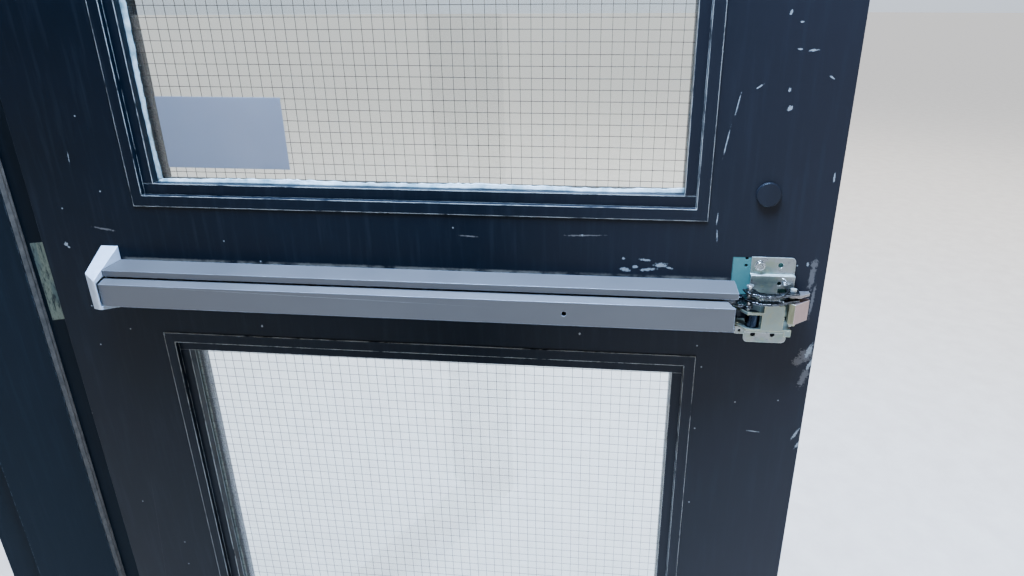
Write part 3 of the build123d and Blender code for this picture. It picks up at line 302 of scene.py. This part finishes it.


# ---- metals

# A metal whose film or skin shifts between three shades in patches, with grime where it is dull. Its edge
# highlight is a painted highlight along its corners, and its highlight ledge is the height of a step with a
# nearly white painted highlight.
def stained_metal(name, shades, patch, rough, grime, lines=(1, 1, 1), round_over=0.3, metallic=1.0,
                  edge_highlight=None, highlight_ledge=None):
    material, tree, shader = begin(name)
    place = leaf_place(tree)
    along = add(tree, "ShaderNodeMapping", {"Vector": place, "Scale": lines})
    sockets = {"Vector": along, "Scale": 1 / patch, "Detail": 3.0, "Distortion": 0.6}
    broad = add(tree, "ShaderNodeTexNoise", sockets)
    sockets = {"Vector": along, "Scale": 3 / patch, "Detail": 4.0, "Roughness": 0.7}
    fine = add(tree, "ShaderNodeTexNoise", sockets)
    first = add(tree, "ShaderNodeMapRange", {"Value": broad, "From Min": 0.38, "From Max": 0.52})
    second = add(tree, "ShaderNodeMapRange", {"Value": fine, "From Min": 0.5, "From Max": 0.66})
    sockets = {0: first, 6: linear(shades[0]), 7: linear(shades[1])}
    base = add(tree, "ShaderNodeMix", sockets, 2, data_type="RGBA")
    base = add(tree, "ShaderNodeMix", {0: second, 6: base, 7: linear(shades[2])}, 2, data_type="RGBA")
    sockets = {"Value": fine, "From Min": 0.46, "From Max": 0.3, "To Max": grime}
    dirty = add(tree, "ShaderNodeMapRange", sockets)
    base = add(tree, "ShaderNodeMix", {0: dirty, 6: base, 7: linear("#1E1D1A")}, 2, data_type="RGBA")
    # Painted highlight: a nearly white band on the step at the ledge height, where the face turns up to the
    # sky.
    if highlight_ledge:
        height = add(tree, "ShaderNodeSeparateXYZ", {"Vector": place}, "Z")
        sockets = {"Value": height, "From Min": highlight_ledge - 0.8, "From Max": highlight_ledge - 0.5}
        above = add(tree, "ShaderNodeMapRange", sockets)
        sockets = {"Value": height, "From Min": highlight_ledge + 0.5, "From Max": highlight_ledge + 0.3}
        below = add(tree, "ShaderNodeMapRange", sockets)
        ledge_highlight = add(tree, "ShaderNodeMath", {0: above, 1: below}, operation="MULTIPLY")
        base = add(tree, "ShaderNodeMix", {0: ledge_highlight, 6: base, 7: linear("#DDE8DF")}, 2, data_type="RGBA")
    # Painted highlight along the corners.
    if edge_highlight:
        sockets = {0: edge_wear_and_highlight_mask(tree, 0.55), 6: base, 7: linear(edge_highlight)}
        base = add(tree, "ShaderNodeMix", sockets, 2, data_type="RGBA")
    tree.links.new(base, shader.inputs["Base Color"])
    sockets = {"Value": fine, "From Min": 0.3, "From Max": 0.7, "To Min": rough[0], "To Max": rough[1]}
    tree.links.new(add(tree, "ShaderNodeMapRange", sockets), shader.inputs["Roughness"])
    soft = add(tree, "ShaderNodeBevel", {"Radius": round_over * MM}, samples=4)
    sockets = {"Height": fine, "Strength": 0.3, "Distance": 0.1 * MM, "Normal": soft}
    tree.links.new(add(tree, "ShaderNodeBump", sockets), shader.inputs["Normal"])
    shader.inputs["Metallic"].default_value = metallic
    return material


# Satin-anodised extruded aluminium: draw lines run along the bar, too fine to show one by one, so they are
# drawn 0.6 mm apart; the cut ends and arrises catch the light.
def anodised_bar():
    material, tree, shader = begin("satin_anodised_aluminium")
    place = leaf_place(tree)
    along = add(tree, "ShaderNodeMapping", {"Vector": place, "Scale": (1 / 300, 1 / 0.6, 1 / 0.6)})
    drawn = add(tree, "ShaderNodeTexNoise", {"Vector": along, "Scale": 1.0, "Detail": 3.0})
    smear = add(tree, "ShaderNodeTexNoise", {"Vector": place, "Scale": 1 / 70, "Detail": 3.0})
    sockets = {0: smear, 6: linear("#545150"), 7: linear("#5E5B59")}
    base = add(tree, "ShaderNodeMix", sockets, 2, data_type="RGBA")
    arris = edge_wear_and_highlight_mask(tree, 0.45)
    base = add(tree, "ShaderNodeMix", {0: arris, 6: base, 7: linear("#C9D4E2")}, 2, data_type="RGBA")
    tree.links.new(base, shader.inputs["Base Color"])
    sockets = {"Value": smear, "From Min": 0.3, "From Max": 0.7, "To Min": 0.42, "To Max": 0.52}
    tree.links.new(add(tree, "ShaderNodeMapRange", sockets), shader.inputs["Roughness"])
    soft = add(tree, "ShaderNodeBevel", {"Radius": 0.5 * MM}, samples=4)
    sockets = {"Height": drawn, "Strength": 0.12, "Distance": 0.05 * MM, "Normal": soft}
    tree.links.new(add(tree, "ShaderNodeBump", sockets), shader.inputs["Normal"])
    shader.inputs["Metallic"].default_value = 0.4
    return material


# Hot-dip galvanised sheet: zinc crystals 12 mm across, each with its own grey.
def galvanised():
    material, tree, shader = begin("hot_dip_galvanised_sheet")
    place = frame_place(tree)
    crystal = add(tree, "ShaderNodeTexVoronoi", {"Vector": place, "Scale": 1 / 12}, "Color")
    shade = add(tree, "ShaderNodeSeparateColor", {"Color": crystal})
    sockets = {0: shade, 6: linear("#8A9094"), 7: linear("#B4B9BC")}
    base = add(tree, "ShaderNodeMix", sockets, 2, data_type="RGBA")
    tree.links.new(base, shader.inputs["Base Color"])
    sockets = {"Value": shade, "To Min": 0.35, "To Max": 0.6}
    tree.links.new(add(tree, "ShaderNodeMapRange", sockets), shader.inputs["Roughness"])
    shader.inputs["Metallic"].default_value = 0.9
    return material


# Mill-finish extruded aluminium of the sill: scuffed across by feet.
def trodden_aluminium():
    material, tree, shader = begin("mill_finish_aluminium")
    place = frame_place(tree)
    across = add(tree, "ShaderNodeMapping", {"Vector": place, "Scale": (1 / 2, 1 / 40, 1 / 2)})
    sockets = {"Vector": across, "Scale": 1.0, "Detail": 5.0, "Roughness": 0.7}
    scuffs = add(tree, "ShaderNodeTexNoise", sockets)
    sockets = {0: scuffs, 6: linear("#7F8286"), 7: linear("#B8BABC")}
    base = add(tree, "ShaderNodeMix", sockets, 2, data_type="RGBA")
    tree.links.new(base, shader.inputs["Base Color"])
    sockets = {"Value": scuffs, "To Min": 0.3, "To Max": 0.6}
    tree.links.new(add(tree, "ShaderNodeMapRange", sockets), shader.inputs["Roughness"])
    sockets = {"Height": scuffs, "Strength": 0.3, "Distance": 0.1 * MM}
    tree.links.new(add(tree, "ShaderNodeBump", sockets), shader.inputs["Normal"])
    shader.inputs["Metallic"].default_value = 0.95
    return material


# The latch bolt: sintered bronze, pinkish and lightly scored. Its fork is oiled steel, the strip beside the
# bracket is mottled dark and straw, its dark a painted shade of the gap there, the riveted drive pin is
# bright, and its edges carry a painted highlight.
def latch_finish():
    material, tree, shader = begin("bronze_bolt_with_steel_fork")
    place = leaf_place(tree)
    across = add(tree, "ShaderNodeSeparateXYZ", {"Vector": place}, "X")
    height = add(tree, "ShaderNodeSeparateXYZ", {"Vector": place}, "Z")
    scored = add(tree, "ShaderNodeMapping", {"Vector": place, "Scale": (1 / 6, 1 / 6, 1 / 18)})
    sockets = {"Vector": scored, "Scale": 1.0, "Detail": 5.0, "Roughness": 0.7}
    grain = add(tree, "ShaderNodeTexNoise", sockets)
    sockets = {0: grain, 6: linear("#8A716C"), 7: linear("#AE958E")}
    base = add(tree, "ShaderNodeMix", sockets, 2, data_type="RGBA")
    # Painted shade: the strip beside the bracket is darkened as the gap there would be, mottled with straw.
    sockets = {"Value": across, "From Min": LATCH_U - 2.6, "From Max": LATCH_U - 3.2}
    strip = add(tree, "ShaderNodeMapRange", sockets)
    sockets = {0: grain, 6: linear("#3B3A2C"), 7: linear("#A8A078")}
    straw = add(tree, "ShaderNodeMix", sockets, 2, data_type="RGBA")
    base = add(tree, "ShaderNodeMix", {0: strip, 6: base, 7: straw}, 2, data_type="RGBA")
    sockets = {"Value": height, "From Min": BAR_Z + 9.7, "From Max": BAR_Z + 10.0}
    fork = add(tree, "ShaderNodeMapRange", sockets)
    sockets = {0: grain, 6: linear("#4A4646"), 7: linear("#A89E99")}
    steel = add(tree, "ShaderNodeMix", sockets, 2, data_type="RGBA")
    base = add(tree, "ShaderNodeMix", {0: fork, 6: base, 7: steel}, 2, data_type="RGBA")
    sockets = {"Vector": place, "Location": DRIVE_PIN, "Scale": (3.7, 3.7, 40)}
    local = add(tree, "ShaderNodeMapping", sockets, vector_type="TEXTURE")
    near = add(tree, "ShaderNodeVectorMath", {0: local}, "Value", operation="LENGTH")
    pin = add(tree, "ShaderNodeMapRange", {"Value": near, "From Min": 1.04, "From Max": 0.98})
    pin = add(tree, "ShaderNodeMath", {0: pin, 1: fork}, operation="MULTIPLY")
    base = add(tree, "ShaderNodeMix", {0: pin, 6: base, 7: linear("#DAD9CC")}, 2, data_type="RGBA")
    # Painted highlight along the bolt's edges.
    sockets = {0: edge_wear_and_highlight_mask(tree, 0.5), 6: base, 7: linear("#E6DFCE")}
    base = add(tree, "ShaderNodeMix", sockets, 2, data_type="RGBA")
    tree.links.new(base, shader.inputs["Base Color"])
    sockets = {"Value": grain, "To Min": 0.25, "To Max": 0.5}
    tree.links.new(add(tree, "ShaderNodeMapRange", sockets), shader.inputs["Roughness"])
    soft = add(tree, "ShaderNodeBevel", {"Radius": 0.3 * MM}, samples=4)
    sockets = {"Height": grain, "Strength": 0.3, "Distance": 0.1 * MM, "Normal": soft}
    tree.links.new(add(tree, "ShaderNodeBump", sockets), shader.inputs["Normal"])
    shader.inputs["Metallic"].default_value = 0.75
    return material


# ---- glass, rubber and vinyl

# Cast wired glass, polished: very slightly wavy, faintly green.
def polished_glass():
    material, tree, shader = begin("polished_wired_glass")
    place = leaf_place(tree)
    wave = add(tree, "ShaderNodeTexNoise", {"Vector": place, "Scale": 1 / 60, "Detail": 1.0})
    sockets = {"Height": wave, "Strength": 0.05, "Distance": 0.3 * MM}
    tree.links.new(add(tree, "ShaderNodeBump", sockets), shader.inputs["Normal"])
    smears = add(tree, "ShaderNodeTexNoise", {"Vector": place, "Scale": 1 / 30, "Detail": 5.0})
    sockets = {"Value": smears, "From Min": 0.5, "From Max": 0.9, "To Min": 0.0, "To Max": 0.04}
    tree.links.new(add(tree, "ShaderNodeMapRange", sockets), shader.inputs["Roughness"])
    sockets = {0: smears, 6: linear("#FDFFFE"), 7: linear("#F8FCFB")}
    base = add(tree, "ShaderNodeMix", sockets, 2, data_type="RGBA")
    tree.links.new(base, shader.inputs["Base Color"])
    shader.inputs["Transmission Weight"].default_value = 1.0
    shader.inputs["IOR"].default_value = 1.5
    return material


# A dull pliable solid with a mottled skin: rubber seals, glazing tape, sealant.
def mottled_soft(name, shades, patch, rough, dent):
    material, tree, shader = begin(name)
    place = frame_place(tree)
    sockets = {"Vector": place, "Scale": 1 / patch, "Detail": 4.0, "Roughness": 0.65}
    mottle = add(tree, "ShaderNodeTexNoise", sockets)
    spread = add(tree, "ShaderNodeMapRange", {"Value": mottle, "From Min": 0.35, "From Max": 0.65})
    sockets = {0: spread, 6: linear(shades[0]), 7: linear(shades[1])}
    base = add(tree, "ShaderNodeMix", sockets, 2, data_type="RGBA")
    tree.links.new(base, shader.inputs["Base Color"])
    sockets = {"Value": mottle, "To Min": rough - 0.1, "To Max": rough + 0.1}
    tree.links.new(add(tree, "ShaderNodeMapRange", sockets), shader.inputs["Roughness"])
    sockets = {"Height": mottle, "Strength": 0.5, "Distance": dent * MM}
    tree.links.new(add(tree, "ShaderNodeBump", sockets), shader.inputs["Normal"])
    return material


# Matt grey vinyl on the pane: some of the daylight behind it comes through.
def lit_film():
    material, tree, shader = begin("matt_grey_vinyl")
    place = leaf_place(tree)
    mottle = add(tree, "ShaderNodeTexNoise", {"Vector": place, "Scale": 1 / 40, "Detail": 4.0})
    sockets = {0: mottle, 6: linear("#AFB1B9"), 7: linear("#B8B9C0")}
    base = add(tree, "ShaderNodeMix", sockets, 2, data_type="RGBA")
    tree.links.new(base, shader.inputs["Base Color"])
    shader.inputs["Roughness"].default_value = 0.5
    glow = add(tree, "ShaderNodeBsdfTranslucent", {"Color": base})
    both = add(tree, "ShaderNodeMixShader", {0: 0.7, 1: shader.outputs["BSDF"], 2: glow})
    tree.links.new(both, tree.nodes["Material Output"].inputs["Surface"])
    return material


# The push side carries the chips. The mouldings are rubbed to pale primer along their edges, and that pale
# edge is also a painted highlight. The plug was painted over with the leaf.
MARKED_ENAMEL = leaf_enamel("brushed_enamel_chipped_on_steel", True, 0.6, "#3B434B")
ENAMEL = leaf_enamel("brushed_enamel_on_steel", False, 0.8, "#4A525A")
TRIM_ENAMEL = leaf_enamel("rubbed_and_highlit_enamel_on_mouldings", False, 1.5, "#B7B6AE", (0.34, 0.52))
PLUG_ENAMEL = leaf_enamel("enamel_on_hole_plug", False, 0.3, "#1E262E")
FRAME_ENAMEL = frame_enamel()
ANODISED = anodised_bar()
GALVANISED = galvanised()
SILL = trodden_aluminium()
GLASS = polished_glass()
# Die-cast zinc, silver lacquered: lighter and finer than the bar, with a painted highlight on its corners.
CAST_SILVER = stained_metal(
    "silver_lacquered_casting", ("#BFC7D0", "#C6CDD6", "#CED4DC"), patch=30, rough=(0.38, 0.5), grime=0.04,
    round_over=0.9, metallic=0.3, edge_highlight="#FCFEFF")
# Clear-chromated zinc plate: grey-green that drifts to pink and straw, grime in its pits, a painted highlight
# on its cut edges, and a nearly white painted highlight on the step that faces up.
ZINC_PLATE = stained_metal(
    "clear_chromated_zinc_plate", ("#717E76", "#8A8984", "#848974"), patch=30, rough=(0.24, 0.4), grime=0.35,
    round_over=0.8, metallic=0.75, edge_highlight="#EEF3E8", highlight_ledge=PLATE_HIGHLIGHT_LEDGE)
# Yellow-chromated zinc on folded sheet: grey-green faces, and a straw-coloured painted highlight on the cut
# edges.
YELLOW_ZINC = stained_metal(
    "yellow_chromated_zinc_sheet", ("#79847B", "#81887C", "#8A8A74"), patch=40, rough=(0.3, 0.44), grime=0.15,
    metallic=0.65, edge_highlight="#EFE6AE")
# Blanked steel, coloured nearly black as a painted reflection of the dark door, with painted highlights on
# its edges.
STEEL_WITH_PAINTED_REFLECTION = stained_metal(
    "blanked_steel_painted_reflection", ("#24282E", "#34383D", "#6E7073"), patch=7, rough=(0.16, 0.42), grime=0.8,
    edge_highlight="#B9BBBD")
# Blued steel of the spring barrel: near black with long highlights.
BLUED = stained_metal(
    "blued_steel", ("#141B26", "#1D2733", "#39434F"), patch=10, rough=(0.16, 0.3), grime=0.5,
    lines=(1, 1, 0.2))
# Bright zinc on screws, pins and wire: cool grey, small scratches, and a painted highlight along the edges.
BRIGHT_ZINC = stained_metal(
    "bright_zinc_screws", ("#A9ACAD", "#BFC0BD", "#D9D9D2"), patch=5, rough=(0.18, 0.34), grime=0.5,
    metallic=0.85, edge_highlight="#F2F4EE")
# The same zinc on the device's own screws and washer, in darker shades with dark patches, and a painted
# highlight on the rim.
DARK_PATCHED_ZINC = stained_metal(
    "dark_patched_zinc_screws", ("#5C6164", "#7E8180", "#C4C5BF"), patch=4, rough=(0.16, 0.34), grime=0.85,
    metallic=0.9, edge_highlight="#FBFCF8")
# Steel hinge leaf, half painted over long ago and rubbed back: greenish and smeared, with dark patches.
HINGE_STEEL = stained_metal(
    "rubbed_steel_hinge", ("#55645D", "#767C69", "#1F2A2C"), patch=17, rough=(0.4, 0.65), grime=0.9,
    lines=(1, 1, 0.22), metallic=0.5)
# Drawn steel wire cast into the glass: dull dark grey, so that it reads as a fine grid.
WIRE_STEEL = stained_metal(
    "welded_glass_wire", ("#26282A", "#37393A", "#6A6C6A"), patch=20, rough=(0.35, 0.5), grime=0.3,
    metallic=0.6)
# Extruded rubber, brown with street dust.
SEAL = mottled_soft("dusty_rubber_seal", ("#332F2A", "#544D45"), 11, 0.75, 0.1)
# Butyl tape squeezed between glass and stop: grey-green, slightly lumpy.
TAPE = mottled_soft("butyl_glazing_tape", ("#56686A", "#7C8888"), 7, 0.75, 0.25)
# Gunned sealant: chalky white, thin and grey-green where it was smeared.
SEALANT = mottled_soft("old_white_sealant", ("#6B8486", "#C3CCC8"), 17, 0.55, 0.3)
SHEET = lit_film()

FINISHES = {
    "painted_steel": ENAMEL, "frame_paint": FRAME_ENAMEL, "galvanised_steel": GALVANISED,
    "bar_grey": ANODISED, "plated_steel": BRIGHT_ZINC, "yellow_zinc": YELLOW_ZINC,
    "bronze": latch_finish(), "blue_steel": BLUED, "hinge_steel": HINGE_STEEL, "glass": GLASS,
    "mesh_wire": WIRE_STEEL, "glazing_tape": TAPE, "seal_rubber": SEAL, "sheet_grey": SHEET,
    "mill_aluminium": SILL, "cap_silver": CAST_SILVER,
}
OWN_FINISH = {
    "leaf_push_sheet": MARKED_ENAMEL, "hole_plug": PLUG_ENAMEL, "latch_base_plate": ZINC_PLATE,
    "crescent_links": STEEL_WITH_PAINTED_REFLECTION, "pull_rod": STEEL_WITH_PAINTED_REFLECTION, "rod_tab": STEEL_WITH_PAINTED_REFLECTION,
    "near_crank": STEEL_WITH_PAINTED_REFLECTION, "far_crank": STEEL_WITH_PAINTED_REFLECTION, "latch_spring": BRIGHT_ZINC,
    "device_fasteners": DARK_PATCHED_ZINC, "leaf_hinge_screws": HINGE_STEEL, "frame_screws": HINGE_STEEL,
}
for row in frame["record"]["subparts"]:
    name = row["node"]
    finish = OWN_FINISH.get(name, FINISHES[row["material_slot"]])
    if "moulding" in name or "stops" in name:
        finish = TRIM_ENAMEL
    data = nodes[name].data
    data.materials.clear()
    data.materials.append(finish)

# ---- pieces with a softer or finer shape than the solids

# The way back from a point of a mesh to u, w and height on the closed leaf.
def leaf_coordinates(point):
    away = Vector((point.x / MM - PIN[0], point.y / MM - PIN[1], 0))
    away.rotate(Matrix.Rotation(-OPEN_ANGLE, 3, "Z"))
    return away.x + PIN[0] - LEAF_EDGE_X, OUTSIDE_FACE_Y - away.y - PIN[1], point.z / MM


# A piece on the leaf, skinned over stacks of rings.
def leaf_piece(name, stacks, closed, finish):
    mesh = bpy.data.meshes.new(name)
    shape = bmesh.new()
    for rings in stacks:
        made = [[shape.verts.new(at_leaf(*point)) for point in ring] for ring in rings]
        for first, second in zip(made, made[1:]):
            for i in range(len(first)):
                j = (i + 1) % len(first)
                shape.faces.new((first[i], first[j], second[j], second[i]))
        if closed:
            shape.faces.new(made[0][::-1])
            shape.faces.new(made[-1])
    bmesh.ops.recalc_face_normals(shape, faces=shape.faces)
    shape.to_mesh(mesh)
    shape.free()
    mesh.materials.append(finish)
    mesh.polygons.foreach_set("use_smooth", [True] * len(mesh.polygons))
    piece = bpy.data.objects.new(name, mesh)
    bpy.context.scene.collection.objects.link(piece)
    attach(piece, "leaf")
    return piece


# Rings of a round wire through points in leaf coordinates, with sides around it.
def wire_rings(points, radius, sides):
    rings = []
    for i, point in enumerate(points):
        ahead = Vector(points[min(i + 1, len(points) - 1)]) - Vector(points[max(i - 1, 0)])
        ahead.normalize()
        across = ahead.orthogonal() if abs(ahead.z) > 0.9 else ahead.cross(Vector((0, 0, 1)))
        across.normalize()
        other = ahead.cross(across)
        ring = []
        for k in range(sides):
            turn = math.tau * k / sides
            out = (across * math.cos(turn) + other * math.sin(turn)) * radius
            ring.append(tuple(Vector(point) + out))
        rings.append(ring)
    return rings


# The welded mesh in the glass: drawn wires of about half a millimetre that wander a little. The upright ones
# lie on the room side of the middle and the level ones on the street side.
WIRE_RADIUS = 0.36
WIRE_SIDES = 4
WIRE_OFF_MIDDLE = 0.22
WIRE_STEP = 30.0
wander = random.Random(12)
for lite in ("upper", "lower"):
    node = nodes[lite + "_wire_mesh"]
    spots = [leaf_coordinates(vertex.co) for vertex in node.data.vertices]
    middle = (min(w for u, w, z in spots) + max(w for u, w, z in spots)) / 2
    low_u, high_u = min(u for u, w, z in spots), max(u for u, w, z in spots)
    low_z, high_z = min(z for u, w, z in spots), max(z for u, w, z in spots)
    upright = sorted({round(u, 1) for u, w, z in spots if w > middle + 0.1})
    level = sorted({round(z, 1) for u, w, z in spots if w < middle - 0.1})
    upright = [(a + b) / 2 for a, b in zip(upright, upright[1:]) if b - a < 1]
    level = [(a + b) / 2 for a, b in zip(level, level[1:]) if b - a < 1]
    wires = []
    for lines, start, end, tall in ((upright, low_z, high_z, True), (level, low_u, high_u, False)):
        count = max(2, round((end - start) / WIRE_STEP))
        for line in lines:
            phase, sway = wander.uniform(0, math.tau), wander.uniform(0.15, 0.45)
            points = []
            for k in range(count + 1):
                along = start + (end - start) * k / count
                off = line + sway * math.sin(along / 95 + phase) + wander.uniform(-0.08, 0.08)
                if tall:
                    points.append((off, middle + WIRE_OFF_MIDDLE, along))
                else:
                    points.append((along, middle - WIRE_OFF_MIDDLE, off))
            wires.append(wire_rings(points, WIRE_RADIUS, WIRE_SIDES))
    mesh_piece = leaf_piece(lite + "_drawn_wires", wires, False, WIRE_STEEL)
    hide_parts(lite + "_wire_mesh")

# Old sealant, smeared by thumb where the upper pane meets its stops, below and on the hinge side.
GLASS_ROOM_FACE = 26.7
SIGHT_U = 167.0
SIGHT_LOW = 1149.0
SIGHT_END_U = 813.5
SIGHT_HIGH = 1961.5
BEAD_STEP = 5.0
beads = []
for below, start, end in ((True, SIGHT_U, SIGHT_END_U), (False, SIGHT_LOW, SIGHT_HIGH)):
    count = int((end - start) / BEAD_STEP)
    rings = []
    for k in range(count + 1):
        along = start + (end - start) * k / count
        spread = 5.0 + 1.1 * math.sin(along / 41) + wander.uniform(-0.9, 0.9)
        climb = 2.6 + 0.7 * math.sin(along / 29 + 2) + wander.uniform(-0.4, 0.4)
        profile = [(-0.2, -0.05), (spread, -0.05), (spread * 0.78, 0.5)]
        profile += [(spread * 0.3, climb * 0.45), (-0.2, climb)]
        if below:
            rings.append([(along, GLASS_ROOM_FACE + out, SIGHT_LOW + up) for up, out in profile])
        else:
            rings.append([(SIGHT_U + up, GLASS_ROOM_FACE + out, along) for up, out in profile])
    beads.append(rings)
bead = leaf_piece("sealant_bead", beads, True, SEALANT)

# The torsion spring of the latch: three turns lie on the base plate above the links, with two bent legs.
# Its points are along and out from its foot, and up from the middle of the bar.
SPRING_FOOT = (LATCH_U - 12.0, LEAF_THICK + 9.9)
SPRING_LOW = 25.3
SPRING_TURNS = 3
STEPS_A_TURN = 10
SPRING_RADIUS = 2.4
SPRING_RISE = 1.3
SPRING_WIRE = 0.5

spring_line = [(7.0, -1.6, 26.6), (3.6, -0.5, 25.5)]
for step in range(SPRING_TURNS * STEPS_A_TURN + 1):
    turn = math.tau * step / STEPS_A_TURN
    level = SPRING_LOW + SPRING_RISE * step / STEPS_A_TURN
    spring_line.append((SPRING_RADIUS * math.cos(turn), SPRING_RADIUS * math.sin(turn), level))
spring_line += [(1.0, -2.0, 29.9), (-3.4, -2.3, 32.4)]
spring_line = [(SPRING_FOOT[0] + u, SPRING_FOOT[1] + w, BAR_Z + h) for u, w, h in spring_line]
spring = leaf_piece("latch_return_spring", [wire_rings(spring_line, SPRING_WIRE, 8)], True, BRIGHT_ZINC)

# ---- floor, light and camera

FLOOR_REACH = 240.0
FLOOR_DROP = 0.001
floor_mesh = bpy.data.meshes.new("floor")
corners = [(x * FLOOR_REACH, y * FLOOR_REACH, 0) for x, y in ((-1, -1), (1, -1), (1, 1), (-1, 1))]
floor_mesh.from_pydata(corners, [], [(0, 1, 2, 3)])
floor = bpy.data.objects.new("floor", floor_mesh)
bpy.context.scene.collection.objects.link(floor)
floor.location.z = -FLOOR_DROP
floor_mesh.materials.append(mottled_soft("pale_concrete_floor", ("#D6CFC7", "#E0DAD2"), 90, 0.85, 0.2))

# Light as from a bright overcast sky over the street, with the dim room behind the viewer.
world = bpy.data.worlds.new("overcast")
world.use_nodes = True
sky = world.node_tree
direction = add(sky, "ShaderNodeTexCoord", {}, "Generated")
sockets = {0: direction, 1: (-0.45, 0.3, 0.84)}
toward_street = add(sky, "ShaderNodeVectorMath", sockets, "Value", operation="DOT_PRODUCT")
lift = add(sky, "ShaderNodeMapRange", {"Value": toward_street, "From Min": -0.08, "From Max": 0.6})
shade = add(sky, "ShaderNodeMix", {0: lift, 6: linear("#393735"), 7: linear("#DFEAFA")}, 2, data_type="RGBA")
sky.links.new(shade, sky.nodes["Background"].inputs["Color"])
sky.nodes["Background"].inputs["Strength"].default_value = 1.4
bpy.context.scene.world = world


def hang_lamp(name, kind, energy, place, aim, colour):
    lamp = bpy.data.lights.new(name, kind)
    lamp.energy = energy
    lamp.color = linear(colour)[:3]
    holder = bpy.data.objects.new(name, lamp)
    bpy.context.scene.collection.objects.link(holder)
    holder.location = place
    holder.rotation_mode = "QUATERNION"
    holder.rotation_quaternion = (Vector(aim) - Vector(place)).to_track_quat("-Z", "Y")
    return lamp


# The street behind the leaf, the strip of sky over the open door, and a veiled sun from behind the leaf, so
# that the far street is as bright as the near one.
street = hang_lamp("open_street", "AREA", 330, (-2.6, 4.2, 5.0), (-2.0, 2.2, 0), "#FFFAF2")
street.size = 5.0
strip_of_sky = hang_lamp("sky_over_door", "AREA", 470, (-0.02, 0.43, 2.75), (-0.02, 0.43, 1.0), "#A6CBFF")
strip_of_sky.size = 1.0
veiled_sun = hang_lamp("veiled_sun", "SUN", 1.6, (-0.5, 0.5, 1.0), (0, 0, 0), "#FFF9F0")
veiled_sun.angle = math.radians(60.0)

# Camera: it stands in the room at eye height, beside the leaf, and looks down at the bar.
CAMERA_PLACE = (735.8, 819.1, 1347.1)
LOOK = Vector((-0.86460, 0.33377, -0.37559))
CAMERA_ROLL = math.radians(-0.11)
FOCAL_PX = 687.64
PHOTO_WIDE = 1024
CENTRE_OFFSET_PX = 35.33
SENSOR = 36.0

camera_data = bpy.data.cameras.new("camera")
camera_data.sensor_width = SENSOR
camera_data.lens = FOCAL_PX / PHOTO_WIDE * SENSOR
camera_data.shift_x = -CENTRE_OFFSET_PX / PHOTO_WIDE
camera_data.clip_start = 0.05
camera = bpy.data.objects.new("camera", camera_data)
bpy.context.scene.collection.objects.link(camera)
camera.rotation_mode = "QUATERNION"
camera.location = at_leaf(*CAMERA_PLACE)
roll = Matrix.Rotation(CAMERA_ROLL, 3, "Z").to_quaternion()
camera.rotation_quaternion = LOOK.to_track_quat("-Z", "Y") @ roll
bpy.context.scene.camera = camera
